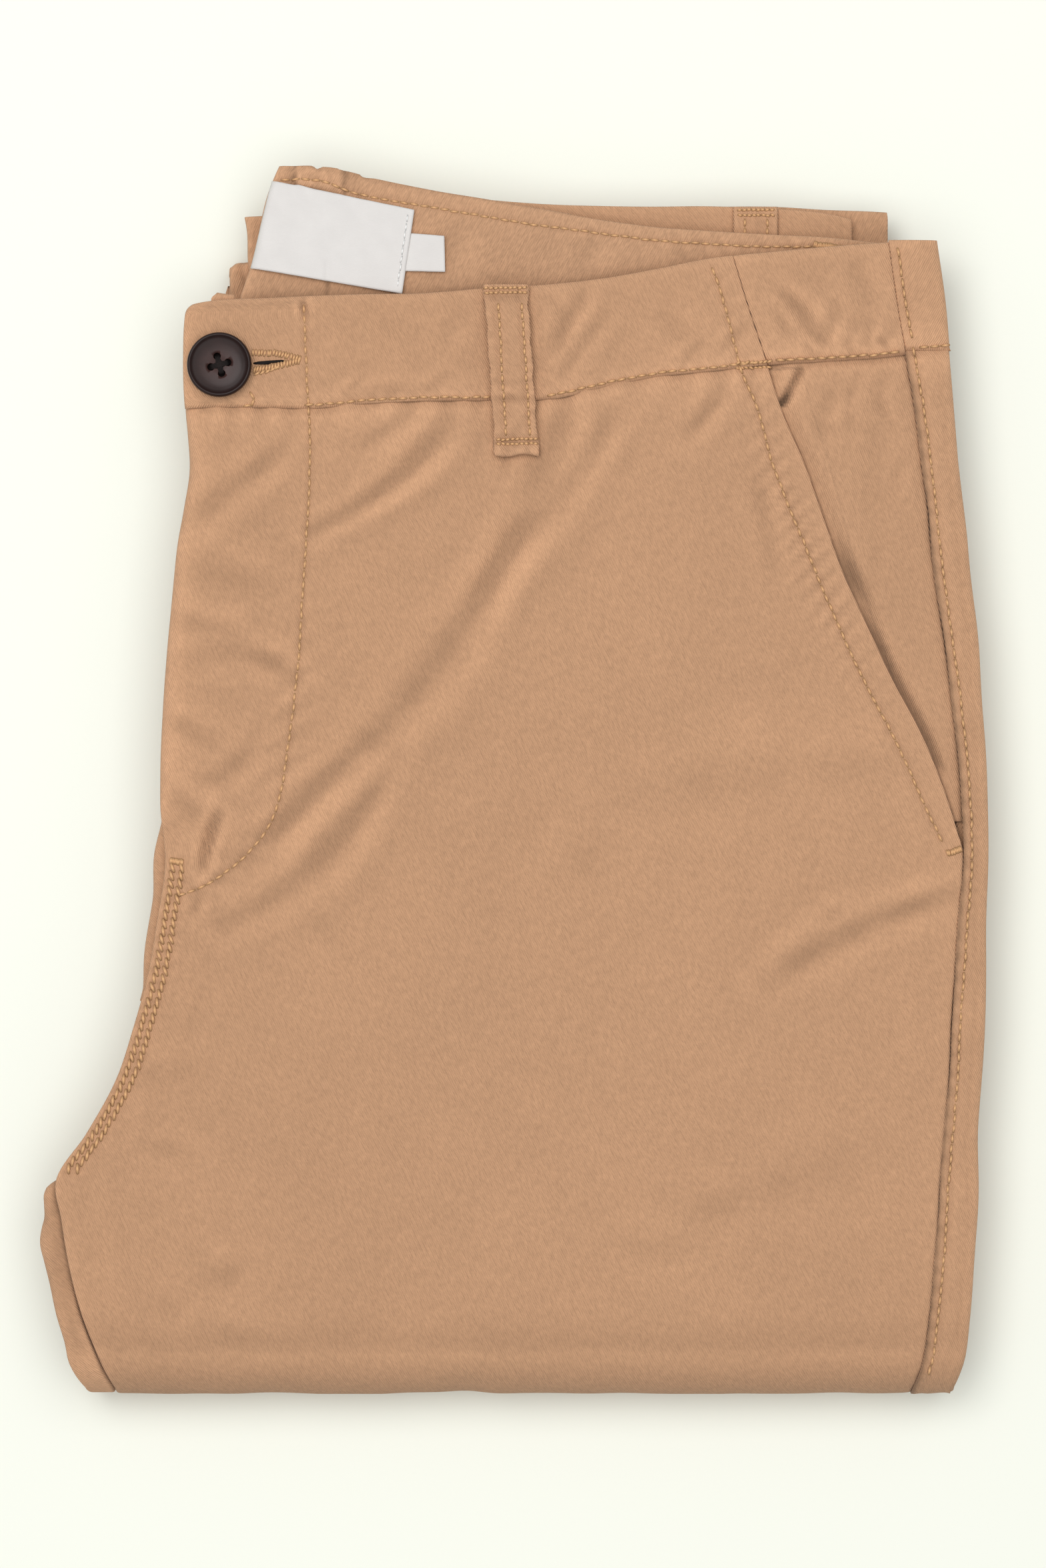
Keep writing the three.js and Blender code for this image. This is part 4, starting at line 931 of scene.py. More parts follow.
def hole_places():
    """Centres of the button's four sewing holes."""
    angle = math.radians(15) + np.arange(4) * math.pi / 2
    return np.stack([BUTTON_CENTRE[0] + 2.5 * np.cos(angle), BUTTON_CENTRE[1] + 2.5 * np.sin(angle)], -1)


class Nodes:
    """A new material, with short ways to add nodes and to link them to its shader."""

    def __init__(self, name, settings):
        self.material = bpy.data.materials.new(name)
        self.material.use_nodes = True
        self.tree = self.material.node_tree
        self.shader = self.tree.nodes["Principled BSDF"]
        for socket, value in settings.items():
            self.shader.inputs[socket].default_value = value

    def add(self, kind, output, inputs, **settings):
        """Adds a node and gives one of its outputs. Each input is a value or another node's output."""
        node = self.tree.nodes.new("ShaderNode" + kind)
        for key, value in settings.items():
            setattr(node, key, value)
        for key, value in inputs.items():
            if isinstance(value, bpy.types.NodeSocket):
                self.tree.links.new(value, node.inputs[key])
            else:
                node.inputs[key].default_value = value
        return node.outputs[output]

    def place(self, name):
        return self.add("TexCoord", name, {})

    def wear_and_painted_shade(self):
        return self.add("Attribute", "Fac", {}, attribute_name="wear_and_painted_shade")

    def noise(self, place, scale, detail, roughness=0.5, distortion=0.0):
        inputs = {"Vector": place, "Scale": scale, "Detail": detail, "Roughness": roughness}
        return self.add("TexNoise", "Fac", {**inputs, "Distortion": distortion})

    def blend(self, part, dark, light):
        return self.add("Mix", 2, {"Factor": part, 6: dark, 7: light}, data_type="RGBA")

    def times(self, colour, factor):
        return self.add("VectorMath", 0, {0: colour, "Scale": factor}, operation="SCALE")

    def spread(self, value, low, high, dark, light):
        inputs = {"Value": value, "From Min": low, "From Max": high, "To Min": dark, "To Max": light}
        return self.add("MapRange", 0, inputs)

    def bump(self, height, strength, depth, **under):
        return self.add("Bump", 0, {"Strength": strength, "Distance": depth * MM, "Height": height, **under})

    def finish(self, colour, normal=None):
        self.tree.links.new(colour, self.shader.inputs["Base Color"])
        if normal is not None:
            self.tree.links.new(normal, self.shader.inputs["Normal"])
        return self.material


def scaled(colour, factor):
    return tuple(min(channel * factor, 1.0) for channel in colour[:3]) + (1.0,)


def twill_material(name, colour, rib_pitch, rib_depth, fleck=0.09, mottle=0.035):
    """Washed twill: diagonal ribs and heather flecks along them, broad uneven dye, and the cloth's colour attribute,
    which makes rubbed ridges lighter and adds painted shade in troughs, seams and hollows.
    """
    sheen = {"Sheen Weight": 0.1, "Sheen Roughness": 0.6, "Sheen Tint": (1.0, 0.9, 0.8, 1.0)}
    nodes = Nodes(name, {"Roughness": 0.92, "Specular IOR Level": 0.25, **sheen})
    place, solid = nodes.place("UV"), nodes.place("Object")
    waves = {
        "Vector": place, "Scale": math.pi / (10 * rib_pitch * MM), "Distortion": 1.1, "Detail": 2.0,
        "Detail Scale": 0.6, "Detail Roughness": 0.6,
    }
    ribs = nodes.add("TexWave", "Fac", waves, wave_type="BANDS", bands_direction="X")
    stretched = nodes.add("Mapping", 0, {"Vector": place, "Scale": (1.0, 0.28, 1.0)})
    flecks = nodes.noise(stretched, 1500.0, 3.0, 0.65)
    nap = nodes.noise(solid, 420.0, 4.0, 0.6)
    dye = nodes.noise(solid, 26.0, 5.0, 0.62)
    base = nodes.blend(ribs, scaled(colour, 0.95), scaled(colour, 1.05))
    for tone in (
        (flecks, 0.35, 0.65, 1 - fleck, 1 + fleck),
        (nap, 0.3, 0.7, 0.97, 1.03),
        (dye, 0.3, 0.7, 1 - mottle, 1 + mottle),
        # colour attribute of the cloth: lighter on rubbed ridges, darker by painted shade in troughs, seam lines,
        # hollows and the bottom fold
        (nodes.wear_and_painted_shade(), -3.5, 1.0, 0.3, 1.2),
    ):
        base = nodes.times(base, nodes.spread(*tone))
    weave = nodes.bump(ribs, 1.0, rib_depth)
    yarn = nodes.bump(flecks, 0.9, 0.09, Normal=weave)
    return nodes.finish(base, nodes.bump(nap, 0.8, 0.1, Normal=yarn))


def satin_material(name, colour):
    """Woven label satin: fine close threads, a faint uneven tone and a soft sheen."""
    nodes = Nodes(name, {"Roughness": 0.55, "Sheen Weight": 0.15})
    place = nodes.place("UV")
    waves = {"Vector": place, "Scale": 1100.0, "Distortion": 0.6, "Detail": 1.0}
    threads = nodes.add("TexWave", "Fac", waves, bands_direction="Y")
    base = nodes.blend(nodes.noise(place, 160.0, 4.0), scaled(colour, 0.93), scaled(colour, 1.05))
    return nodes.finish(base, nodes.bump(threads, 0.7, 0.04))


def horn_material(name, colour):
    """Horn-look resin: dark streaks and clouds under a satin gloss, with a painted highlight in the middle of the
    dish that fades to darker towards the rim.
    """
    nodes = Nodes(name, {"Roughness": 0.3, "Specular IOR Level": 0.2})
    solid = nodes.place("Object")
    streaks = nodes.noise(solid, 260.0, 6.0, 0.6, 1.4)
    middle = (BUTTON_CENTRE[0] * MM, BUTTON_CENTRE[1] * MM, (BAND_TOP_Z + 2.4) * MM)
    from_centre = nodes.add("VectorMath", "Value", {0: solid, 1: middle}, operation="DISTANCE")
    # painted highlight in the middle of the dish, fading to darker towards the rim
    dish = nodes.spread(from_centre, 2.5 * MM, 7.4 * MM, 1.9, 0.75)
    base = nodes.blend(streaks, scaled(colour, 0.6), scaled(colour, 1.6))
    return nodes.finish(nodes.times(base, dish), nodes.bump(streaks, 0.3, 0.05))


def thread_material(name, colour):
    """Sewing thread: plies that wind across each stitch, with painted shade where its ends sink into the cloth."""
    nodes = Nodes(name, {"Roughness": 0.75, "Specular IOR Level": 0.2})
    plies = nodes.noise(nodes.place("Object"), 2600.0, 2.0)
    base = nodes.blend(plies, scaled(colour, 0.78), scaled(colour, 1.2))
    return nodes.finish(nodes.times(base, nodes.spread(nodes.wear_and_painted_shade(), -1.0, 0.2, 0.5, 1.05)))


def finished(piece, node, material):
    """Rides the piece, lets it stand for its CAD node and gives it its finish."""
    piece.data.materials.clear()
    piece.data.materials.append(material)
    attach(piece, "root")
    if node:
        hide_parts(node)
    return piece


CLOTH_FINISH = {"twill": "twill face", "twill_inside": "twill inside", "label_satin": "label satin"}


def made(name, node, skin, wall, grain, shade=0.0, slot="twill"):
    """A cloth piece in its slot's finish, standing for its CAD node."""
    return finished(cloth(name, skin, wall, grain, shade), node, finish_for(CLOTH_FINISH[slot]))


def sewn_piece(name, runs, thickness, kind="sewing thread"):
    """A piece of stitches in thread of a kind."""
    return finished(thread_runs(name, runs, thickness), None, finish_for(kind))


class ClothSettings(PropertyGroup):
    """Sizes and colours of the cloth."""

    colour: FloatVectorProperty(
        name="Twill", description="Colour of the twill's face", subtype="COLOR", size=4, min=0, max=1,
        default=(0.496, 0.272, 0.152, 1.0),
    )
    inside_colour: FloatVectorProperty(
        name="Inside", description="Colour of the waistband's inner layers", subtype="COLOR", size=4, min=0, max=1,
        default=(0.462, 0.256, 0.145, 1.0),
    )
    label_colour: FloatVectorProperty(
        name="Label", description="Colour of the plain labels", subtype="COLOR", size=4, min=0, max=1,
        default=(0.64, 0.60, 0.575, 1.0),
    )
    wall: FloatProperty(
        name="Cloth wall", description="Thickness of a single layer with its seams, in millimetres", default=1.45,
        min=0.8, max=2.0,
    )
    rib_pitch: FloatProperty(
        name="Rib pitch", description="Distance between the twill's ribs, in millimetres", default=0.57, min=0.3, max=1.5
    )
    rib_depth: FloatProperty(
        name="Rib depth", description="Height of the twill's ribs, in millimetres", default=0.14, min=0.0, max=0.4
    )


class SewingSettings(PropertyGroup):
    """Sizes and colour of the stitching."""

    pitch: FloatProperty(
        name="Stitch pitch", description="Distance between stitches, in millimetres", default=2.9, min=1.5, max=5
    )
    length: FloatProperty(
        name="Stitch length", description="Visible length of a stitch, in millimetres", default=2.7, min=1, max=4.5
    )
    thickness: FloatProperty(
        name="Thread thickness", description="Thickness of the thread, in millimetres", default=0.66, min=0.2, max=0.9
    )
    colour: FloatVectorProperty(
        name="Thread", description="Colour of the sewing thread", subtype="COLOR", size=4, min=0, max=1,
        default=(0.62, 0.35, 0.17, 1.0),
    )


class ButtonSettings(PropertyGroup):
    """Colours of the waist button."""

    colour: FloatVectorProperty(
        name="Horn", description="Colour of the button", subtype="COLOR", size=4, min=0, max=1,
        default=(0.019, 0.0072, 0.0058, 1.0),
    )
    thread_colour: FloatVectorProperty(
        name="Button thread", description="Colour of the thread that holds the button", subtype="COLOR", size=4,
        min=0, max=1, default=(0.010, 0.006, 0.005, 1.0),
    )


class StageSettings(PropertyGroup):
    """Floor, lights and camera."""

    floor_colour: FloatVectorProperty(
        name="Floor", description="Colour of the floor", subtype="COLOR", size=4, min=0, max=1,
        default=(0.84, 0.835, 0.75, 1.0),
    )
    height: FloatProperty(
        name="Camera height", description="Height of the camera above the floor", default=1.2656, min=0.3, max=4,
        subtype="DISTANCE", unit="LENGTH",
    )
    lens: FloatProperty(name="Lens", description="Focal length of the camera", default=100.0, min=20, max=300,
                        unit="CAMERA")
    overhead_power: FloatProperty(name="Overhead light", description="Power of the broad light above", default=22.0,
                                  min=0, max=500, subtype="POWER", unit="POWER")
    key_power: FloatProperty(name="Key light", description="Power of the light from the upper left", default=5.6,
                             min=0, max=500, subtype="POWER", unit="POWER")
    fill: FloatProperty(name="Fill", description="Strength of the light from all round", default=0.5, min=0, max=3,
                        subtype="FACTOR")


def finish_for(kind):
    """Material of a kind, made once."""
    name = "chino_" + kind.replace(" ", "_")
    if name in bpy.data.materials:
        return bpy.data.materials[name]
    scene = bpy.context.scene
    fabric, sewing, button = scene.chino_cloth, scene.chino_sewing, scene.chino_button
    makers = {
        "twill face": lambda: twill_material(name, fabric.colour, fabric.rib_pitch, fabric.rib_depth),
        "twill inside": lambda: twill_material(
            name, fabric.inside_colour, fabric.rib_pitch, fabric.rib_depth * 0.6, 0.13
        ),
        "label satin": lambda: satin_material(name, fabric.label_colour),
        "button horn": lambda: horn_material(name, button.colour),
        "sewing thread": lambda: thread_material(name, sewing.colour),
        "button thread": lambda: thread_material(name, button.thread_colour),
        "label thread": lambda: thread_material(name, (0.85, 0.82, 0.80)),
    }
    return makers[kind]()


class CHINO_OT_layers(Operator):
    """Builds the leg layers folded inside the pile"""

    bl_idname = "chino.layers"
    bl_label = "Folded layers"

    def execute(self, context):
        body = box_cloth("folded_legs", core_place, (90, 170, 64))
        finished(body, "folded_layers", finish_for("twill face"))
        return {"FINISHED"}


class CHINO_OT_panels(Operator):
    """Builds the front, the back at the side seam and the edges of the layers below"""

    bl_idname = "chino.panels"
    bl_label = "Leg panels"

    def execute(self, context):
        wall = context.scene.chino_cloth.wall
        skin, shade = front_skin()
        made("left_front", "front_left", skin, wall, -25, shade)
        skin, shade = back_skin()
        made("left_back", "back_left", skin, wall - 0.15, -25, shade)
        skin, shade = inseam_skin()
        made("left_back_inseam", "back_left_inseam", skin, wall - 0.15, -48, shade)
        made("right_front_edge", "front_right", sliver_skin(), wall - 0.15, -50)
        skin, shade = facing_skin()
        made("pocket_facing", "pocket_facing_left", skin, wall - 0.25, -22, shade)
        return {"FINISHED"}


def soft_corner(skin, top_y, size):
    """Draws in the upper left corner of a piece, so that it is round."""
    across = np.linspace(0, 1, skin.shape[1])[None]
    skin[..., 0] += size * ease((skin[..., 1] - top_y + 1.6 * size) / (1.6 * size)) ** 2 * (1 - across) ** 2
    return skin


def shield_z(x, y):
    """Top of the fly shield's end, whose corner is folded and soft."""
    top = 149.0 + 1.6 * (x + 82) / 24
    fold = 0.5 * bell(x + 79.4 - (top - y) * 0.3, 0.7)
    return 9.0 - rolled(top - y, 2.4, 1.3) - rolled(x + 82.0, 1.8, 0.9) - fold


def lining_z(x, y):
    """Top of the front waistband's lining, rounded at its corner."""
    return 22.6 - rolled(139.0 - y, 2.4, 1.3) - rolled(x + 87.1, 2.0, 0.9) + 0.1 * ripple(x, y, 8, 35)


class CHINO_OT_waistband(Operator):
    """Builds the outer waistband and the waistband layers behind it"""

    bl_idname = "chino.waistband"
    bl_label = "Waistband"

    def execute(self, context):
        front, side = front_band_skin(), side_band_skin()
        made("front_band", "waistband_front_left", front, band_wall(front, 2.6), -25)
        made("side_band", "waistband_side_left", side, band_wall(side, 2.6), -25)
        back = back_band_skin()
        made("back_band", "waistband_back_left", back, band_wall(back, 1.5), 28)
        inner = layer_band_skin(inside_left, 107.5, "inside", inside_z, 150)
        inner_shade = inside_shade(inner[..., 0], inner[..., 1])
        made("inner_band", "waistband_facing_back_left", inner, 2.6, 25, inner_shade, slot="twill_inside")
        right_back = layer_band_skin(-54, 96.9, "back", back_z, 120)
        made("right_back_band", "waistband_back_right", right_back, 2.2, -39)
        deep = layer_band_skin(deep_left, 107.5, "front", deep_z, 120)
        made("right_front_band", "waistband_front_right", deep, 2.4, 25, slot="twill_inside")
        shield = patch_skin([(-81.6, 116), (-58, 116), (-58, 150.6), (-82.0, 149.0)], 30, 40, shield_z)
        shield = soft_corner(shield, 149.2, 1.8)
        made("fly_shield_end", "fly_shield", shield, 1.0, 20, slot="twill_inside")
        facing = patch_skin([(-87, 118), (-80.2, 118), (-79.6, 138.2), (-86.2, 139.0)], 20, 36, lining_z)
        facing = soft_corner(facing, 139.0, 1.5)
        made("front_band_lining", "waistband_facing_front_left", facing, 1.5, 20, slot="twill_inside")
        return {"FINISHED"}


class CHINO_OT_labels(Operator):
    """Builds the plain label and size tag on the inner waistband"""

    bl_idname = "chino.labels"
    bl_label = "Labels"

    def execute(self, context):
        label = patch_skin(LABEL_CORNERS, 70, 44, label_top, 0.12)
        made("plain_label", "label", label, 0.9, 0, slot="label_satin")
        tag = patch_skin(TAG_CORNERS, 20, 20, tag_z, 0.05)
        made("plain_size_tag", "size_tag", tag, 0.6, 0, slot="label_satin")
        return {"FINISHED"}


LABEL_CORNERS = [(-75.2, 146.1), (-31.9, 138.7), (-28.4, 162.6), (-69.2, 171.0)]
TAG_CORNERS = [(-31.0, 145.2), (-19.6, 145.0), (-19.8, 155.2), (-29.2, 155.9)]
LOOP_FOOT_Y = 92.2
LOOP_TOP_Y = 140.6


def under_loop_z(x, y):
    """Surface that the front belt loop lies on: the panel below the waist seam, the waistband above it."""
    panel = PILE_TOP + np.maximum(front_relief(x, y), -0.4)
    return mix(panel, band_z(x, y), ease((y - waist("seam", x) + 4) / 6))


def front_loop_z(x, y):
    """Top of the front belt loop: it bows up between its sewn ends, and its folded sides are rounded."""
    part = (y - LOOP_FOOT_Y) / (LOOP_TOP_Y - LOOP_FOOT_Y)
    centre = 1.0 - 3.3 * part
    side = np.abs(x - centre)
    bow = 0.75 * np.clip(np.sin(math.pi * np.clip((part - 0.1) / 0.86, 0, 1)), 0, 1) ** 0.6
    foot = 0.75 * bell(part - 0.08, 0.03) + 0.65 * bell(part - 0.93, 0.028)
    crown = 0.25 * np.cos(side / 6.8 * math.pi / 2) - 0.3 * bell(side - 3.5, 0.8)
    pucker = 0.14 * np.sin(y / 0.55 + 2 * np.sin(y / 6)) * bell(side - 5.4, 1.3)
    sag = 0.25 * bell(part - 0.42, 0.03) + 0.2 * bell(part - 0.34 - x / 90, 0.02)
    height = under_loop_z(x, y) + 2.2 + bow - foot + crown + pucker - sag - rolled(6.4 - side, 1.3, 0.8)
    return height + 0.07 * ripple(x, y, 9, 71)


def front_loop_skin():
    """The front belt loop, whose sides wander a little and whose folded ends are wider."""
    up = 1 - np.linspace(0, 1, 80)[:, None]
    y = mix(LOOP_FOOT_Y, LOOP_TOP_Y, up) + 0 * up
    wide = 6.15 + 0.5 * bell(up - 0.04, 0.05) + 0.45 * bell(up - 0.97, 0.045)
    left = 1.0 - 3.3 * up - wide - 0.16 * np.sin(y / 2.1) - 0.12 * np.sin(y / 0.9)
    right = 1.0 - 3.3 * up + wide + 0.2 * np.sin(y / 1.7 + 1) + 0.12 * np.sin(y / 0.8)
    x = spread(left, right, 22, EDGE_STEPS[:4], EDGE_STEPS[:4])
    y = y + 0.35 * np.sin(x / 1.9) * ease((0.1 - up) / 0.1) + 0 * x
    shade = -0.5 * bell(up - 0.9, 0.035) + 0 * x
    return np.stack([x, y, front_loop_z(x, y)], -1), shade


class CHINO_OT_loops(Operator):
    """Builds the three belt loops that show"""

    bl_idname = "chino.loops"
    bl_label = "Belt loops"

    def execute(self, context):
        front, shade = front_loop_skin()
        made("front_loop", "belt_loop_front_left", front, 1.6, -33, shade)
        centre_back = patch_skin([(-66.5, 152), (-55.5, 152), (-55.9, 175), (-66.9, 175)], 22, 34, back_loop_z)
        made("centre_back_loop", "belt_loop_centre_back", centre_back, 1.3, -30)
        right_back = patch_skin([(63, 142), (75.8, 142), (75.8, 164.2), (63, 164.2)], 24, 34, right_loop_z)
        made("right_back_loop", "belt_loop_back_right", right_back, 1.0, -30)
        return {"FINISHED"}


def back_loop_z(x, y):
    """Top of the centre back loop, whose sides are rounded."""
    side = np.abs(x + 61 + 0.2 * (y - 152) / 11.5)
    return 16.7 - rolled(np.maximum(5.5 - side, 0), 1.2, 0.5) - rolled(np.maximum(175 - y, 0), 1.2, 0.4)


def right_loop_z(x, y):
    """Top of the loop on the right back waistband."""
    side = np.abs(x - 69.4)
    return back_z(x, y) + 1.4 - rolled(np.maximum(6.4 - side, 0), 1.2, 0.5) + 0.06 * ripple(x, y, 7, 72)


def flat_front_z(x, y):
    """Surface that the sewing of the front panel and waistband lies on."""
    return np.where(y > waist("seam", x), band_z(x, y), front_z(x, y))


def seam_side_z(x, y):
    """Surface of the left back just beside the side seam."""
    part = np.clip((x - seam_x(y)) / 9, 0, 1)
    return PILE_TOP - 0.55 * np.exp(-part * 4) - 1.1 * part**2 - 0.1


def back_band_z(x, y):
    return BAND_TOP_Z - 0.15 + 0 * x


def under_band_z(x, y):
    return seam_side_z(x, y) + 0.35


def dish_z(x, y):
    return BUTTON_BASE + 1.3 + 0 * x


def tag_z(x, y):
    return inside_z(x, y) + 1.2


class CHINO_OT_sewing(Operator):
    """Sews the rows of stitches, the bartacks and the buttonhole"""

    bl_idname = "chino.sewing"
    bl_label = "Sewing"

    def execute(self, context):
        sewing = context.scene.chino_sewing
        pitch, length = sewing.pitch, sewing.length
        along_seam = waist_row(-59.7, -6.2, 0.9)
        runs = [
            row_of(FLY_LINE, pitch, length, flat_front_z, seed=1),
            row_of(POCKET_LINE, pitch, length, flat_front_z, seed=2),
            row_of(SEAM_ROW, pitch, length, seam_side_z, seed=3),
            row_of(along_seam, pitch, length, band_z, seed=6),
            row_of(waist_row(9.4, 70.0, 0.9), pitch, length, band_z, seed=7),
            row_of(waist_row(74.5, 110.0, 0.9), pitch, length, band_z, seed=8),
            row_of(edge_line(seam_x, 2.3, 124.0, 151.5), pitch, length, back_band_z, seed=24),
            row_of([(-4.4, 135.4), (-2.1, 97.6)], pitch * 0.85, length * 0.85, front_loop_z, seed=9),
            row_of([(2.4, 135.4), (4.7, 97.6)], pitch * 0.85, length * 0.85, front_loop_z, seed=10),
            row_of([(-8.4, 139.5), (3.9, 139.8)], 1.3, 1.5, front_loop_z, 14, 11),
            row_of([(-8.4, 138.2), (3.9, 138.5)], 1.3, 1.5, front_loop_z, -14, 25),
            row_of([(-5.0, 96.6), (7.0, 96.9)], 1.3, 1.5, front_loop_z, 14, 12),
            row_of([(-5.0, 95.3), (7.0, 95.6)], 1.3, 1.5, front_loop_z, -14, 26),
            row_of([(63.4, 118.5), (73.4, 118.9)], 1.3, 1.7, flat_front_z, 20, 13),
            row_of([(63.4, 117.2), (73.4, 117.6)], 1.3, 1.7, flat_front_z, -20, 27),
            bar((123.5, -21.3), (127.6, -19.9), front_z, 2.0, 14),
            bar((-98.0, -23.2), (-94.1, -23.8), front_z, 2.0, 15),
            row_of([(64.2, 163.2), (74.8, 163.2)], 1.4, 1.5, right_loop_z, 12, 16),
            row_of([(64.2, 161.7), (74.8, 161.7)], 1.4, 1.5, right_loop_z, -12, 28),
            row_of([(66.3, 160.8), (66.3, 148.0)], pitch * 0.85, length * 0.85, right_loop_z, seed=29),
            row_of([(72.6, 160.8), (72.6, 148.0)], pitch * 0.85, length * 0.85, right_loop_z, seed=30),
            row_of([(115.5, 122.9), (124.6, 123.7)], pitch, length, under_band_z, seed=31),
            row_of([(-74.6, 121.4), (-68, 121.3), (-60.4, 119.6)], 0.85, 2.1, band_z, 84, 17),
            row_of([(-74.2, 116.6), (-68.8, 117.3), (-64, 118.5), (-60.6, 119.3)], 0.85, 2.3, band_z, 68, 18),
            row_of([(-73.6, 115.3), (-70.5, 116.0), (-66.5, 117.4)], 1.6, 2.2, band_z, 20, 19),
            row_of([(-75.1, 110.2), (-73.5, 107), (-77, 106.4)], 2.3, 2.6, flat_front_z, seed=20),
        ]
        sewn_piece("top_stitching", runs, sewing.thickness)
        inner = [
            row_of(INSIDE_LINE, pitch, length, inside_z, seed=21),
            bar((85.9, 152.8), (99.2, 150.9), inside_z, 2.2, 22),
        ]
        sewn_piece("inner_stitching", inner, sewing.thickness)
        crotch = [row_of(row, 2.3, 3.3, front_z, 26, 4 + n) for n, row in enumerate(CROTCH_ROWS)]
        sewn_piece("crotch_stitching", crotch, 0.85)
        label_edge = [row_of([(-33.2, 140.4), (-30.2, 161.2)], pitch * 0.8, length * 0.8, label_z, seed=23)]
        sewn_piece("label_stitching", label_edge, 0.4, "label thread")
        return {"FINISHED"}


def label_top(x, y):
    """Top of the label: it follows the band, wraps its left edge and lifts a little along its lower edge."""
    lower = 146.1 - 7.4 * (x + 75.2) / 43.3
    lift = 0.35 * bell(y - lower, 3.0) * np.sin((x + 75) / 9.5) ** 2
    return inside_z(x, y) + 1.45 + lift - rolled(x - inside_left(y), 2.2, 0.7)


def label_z(x, y):
    return inside_z(x, y) + 1.5


def waist_row(low_x, high_x, above):
    """Line just above the seam under the waistband."""
    x = np.linspace(low_x, high_x, 40)
    return [(place, float(waist("seam", place)) + above) for place in x]


BUTTON_BASE = BAND_TOP_Z + 0.6
BUTTON_PROFILE = [
    (0, 0), (5.0, 0.0), (7.4, 0.05), (8.4, 0.35), (8.95, 0.9), (9.2, 1.6), (9.17, 2.3), (9.0, 2.8), (8.75, 3.05),
    (8.5, 3.1), (8.25, 3.0), (8.0, 2.62), (7.7, 2.42), (7.2, 2.32), (6.6, 2.12), (5.6, 1.94), (4.2, 1.84),
    (3.0, 1.8), (2.0, 1.7), (1.2, 1.4), (0, 1.3),
]


SHANK_PROFILE = [(0, -0.3), (3.9, -0.3), (4.1, 0.1), (3.9, 0.56), (0, 0.56)]


class CHINO_OT_button(Operator):
    """Builds the four-hole waist button and the thread that crosses between its holes"""

    bl_idname = "chino.button"
    bl_label = "Button"

    def execute(self, context):
        button = turned_piece("waist_button", BUTTON_PROFILE, BUTTON_CENTRE, BUTTON_BASE, 96)
        holes = hole_places()
        drills = [
            turned_piece(f"drill_{n}", [(0, -1), (1.05, -1), (1.05, 4), (0, 4)], place, BUTTON_BASE, 24)
            for n, place in enumerate(holes)
        ]
        for drill in drills:
            cut_by(button, drill)
        finished(button, "button", finish_for("button horn"))
        runs = []
        for start, end in ((0, 2), (1, 3)):
            way = (holes[end] - holes[start]) / np.linalg.norm(holes[end] - holes[start])
            aside = np.array([-way[1], way[0]])
            for shift in (-0.45, 0.0, 0.45):
                middle = (holes[start] + holes[end]) / 2 + aside * shift
                runs.append((middle[None], way[None], 5.4, dish_z))
        # two dark thread strips along the buttonhole's slit: a painted shadow where the slit is open
        runs.append((np.array([[-69.4, 118.8]]), np.array([[0.997, 0.07]]), 8.6, band_z))
        runs.append((np.array([[-71.6, 118.4]]), np.array([[1.0, 0.0]]), 5.0, band_z))
        sewn_piece("button_thread", runs, 0.75, "button thread")
        # dark thread shank under the button, which is also painted shade for what shows through its holes
        shank = turned_piece("button_shank_and_hole_shade", SHANK_PROFILE, BUTTON_CENTRE, BAND_TOP_Z, 32)
        finished(shank, None, finish_for("button thread"))
        return {"FINISHED"}


FLOOR_EDGE = 3.0


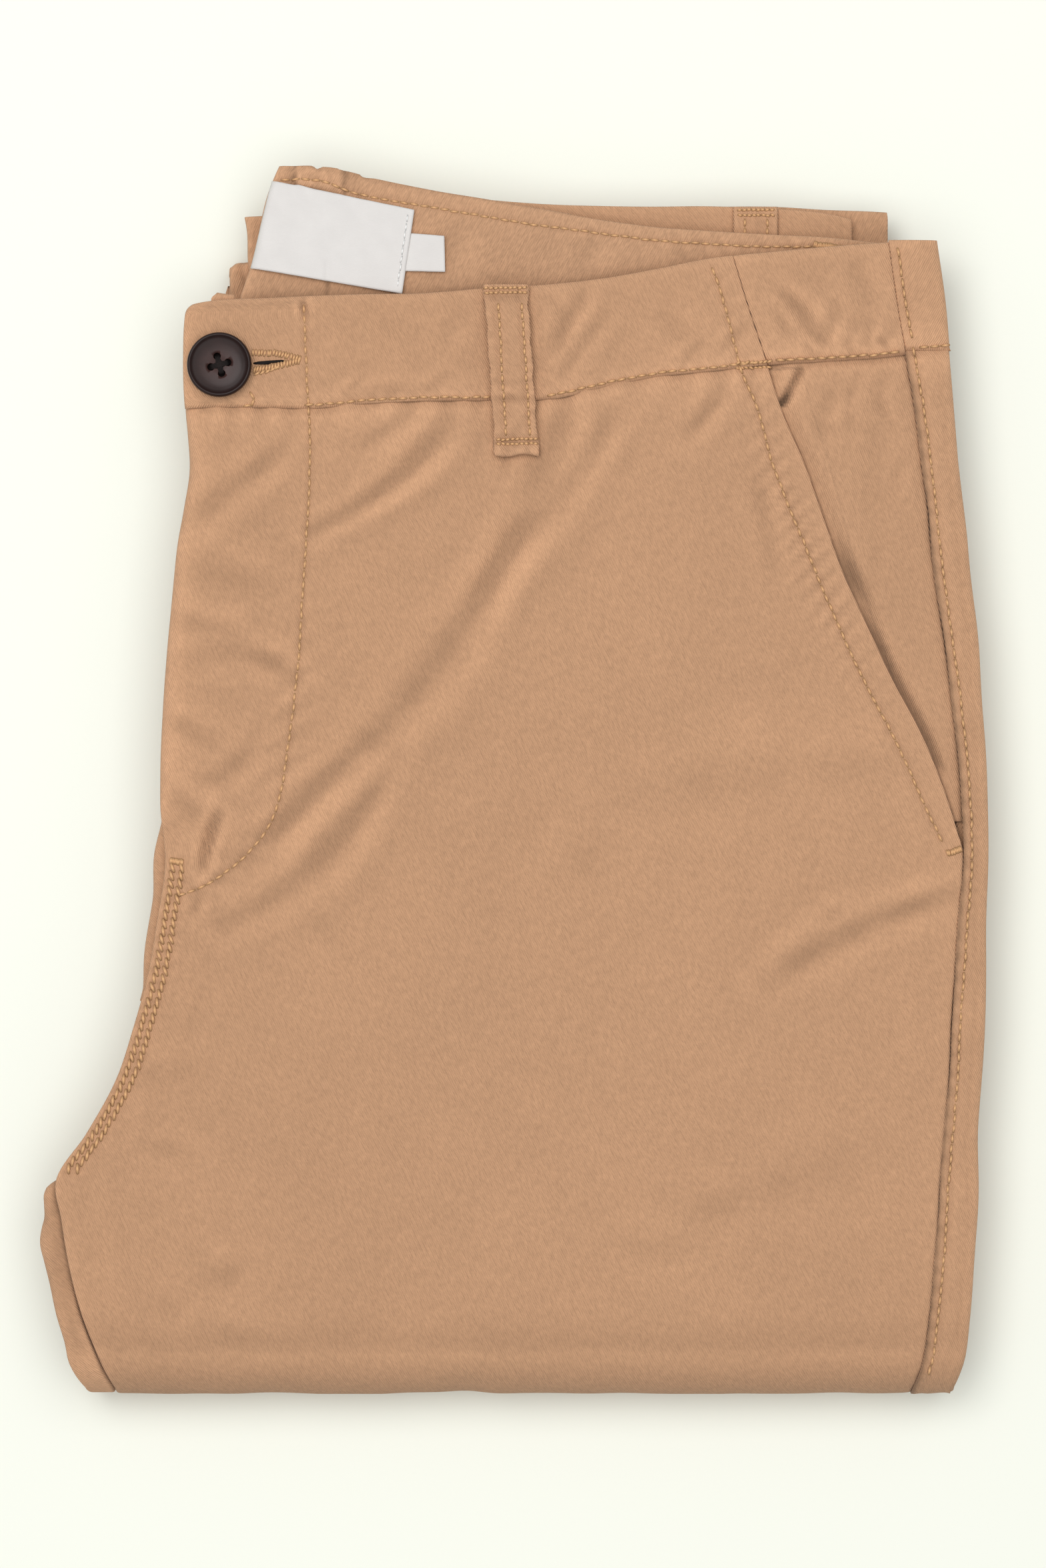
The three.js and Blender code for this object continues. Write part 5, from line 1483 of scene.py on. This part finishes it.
class CHINO_OT_stage(Operator):
    """Sets the pale floor, the soft lights and the camera above the pile"""

    bl_idname = "chino.stage"
    bl_label = "Stage"

    def execute(self, context):
        stage = context.scene.chino_stage
        floor = bpy.data.objects.new("floor", bpy.data.meshes.new("floor"))
        corners = [(-FLOOR_EDGE, -FLOOR_EDGE, 0), (FLOOR_EDGE, -FLOOR_EDGE, 0)]
        corners += [(FLOOR_EDGE, FLOOR_EDGE, 0), (-FLOOR_EDGE, FLOOR_EDGE, 0)]
        floor.data.from_pydata(corners, [], [(0, 1, 2, 3)])
        context.scene.collection.objects.link(floor)
        paper = Nodes("floor_paper", {"Roughness": 0.9})
        grain = paper.noise(paper.place("Object"), 900.0, 3.0)
        colours = scaled(stage.floor_colour, 0.99), tuple(stage.floor_colour)
        floor.data.materials.append(paper.finish(paper.blend(grain, *colours)))
        world = bpy.data.worlds.new("soft_fill")
        world.use_nodes = True
        sky = world.node_tree.nodes["Background"]
        sky.inputs["Color"].default_value = (0.93, 0.99, 1.0, 1.0)
        sky.inputs["Strength"].default_value = stage.fill
        context.scene.world = world
        context.scene.view_settings.view_transform = "Standard"
        lamps = (
            ("overhead", (0.0, 0.1, 1.6), 2.2, stage.overhead_power),
            ("key", (-0.45, 0.45, 1.4), 0.7, stage.key_power),
        )
        for name, place, size, power in lamps:
            light = bpy.data.lights.new(name, "AREA")
            light.energy, light.size = power, size
            lamp = bpy.data.objects.new(name, light)
            lamp.location = place
            lamp.rotation_euler = Vector(place).to_track_quat("Z", "Y").to_euler()
            context.scene.collection.objects.link(lamp)
        camera = bpy.data.cameras.new("camera")
        camera.sensor_fit, camera.sensor_height, camera.lens = "VERTICAL", 36.0, stage.lens
        eye = bpy.data.objects.new("camera", camera)
        eye.location = (2.7 * MM, -1.4 * MM, stage.height)
        context.scene.collection.objects.link(eye)
        context.scene.camera = eye
        return {"FINISHED"}


STEPS = ("layers", "panels", "waistband", "labels", "loops", "sewing", "button", "stage")


class CHINO_PT_panel(Panel):
    """Lists the pieces and their sizes in the sidebar"""

    bl_label = "Folded Chinos"
    bl_idname = "CHINO_PT_panel"
    bl_space_type = "VIEW_3D"
    bl_region_type = "UI"
    bl_category = "Chinos"

    def draw(self, context):
        layout = self.layout
        for holder in ("chino_cloth", "chino_sewing", "chino_button", "chino_stage"):
            settings = getattr(context.scene, holder)
            box = layout.box()
            for name in settings.bl_rna.properties.keys():
                if name not in {"rna_type", "name"}:
                    box.prop(settings, name)
        for step in STEPS:
            layout.operator(f"chino.{step}")


HOLDERS = {
    "chino_cloth": ClothSettings, "chino_sewing": SewingSettings, "chino_button": ButtonSettings,
    "chino_stage": StageSettings,
}
CLASSES = [
    *HOLDERS.values(), CHINO_OT_layers, CHINO_OT_panels, CHINO_OT_waistband, CHINO_OT_labels, CHINO_OT_loops,
    CHINO_OT_sewing, CHINO_OT_button, CHINO_OT_stage, CHINO_PT_panel,
]


def register():
    for kind in CLASSES:
        bpy.utils.register_class(kind)
    for holder, kind in HOLDERS.items():
        setattr(bpy.types.Scene, holder, PointerProperty(type=kind))


def unregister():
    for holder in HOLDERS:
        delattr(bpy.types.Scene, holder)
    for kind in reversed(CLASSES):
        bpy.utils.unregister_class(kind)


def main():
    register()
    for step in STEPS:
        getattr(bpy.ops.chino, step)()


if __name__ == "__main__":
    main()
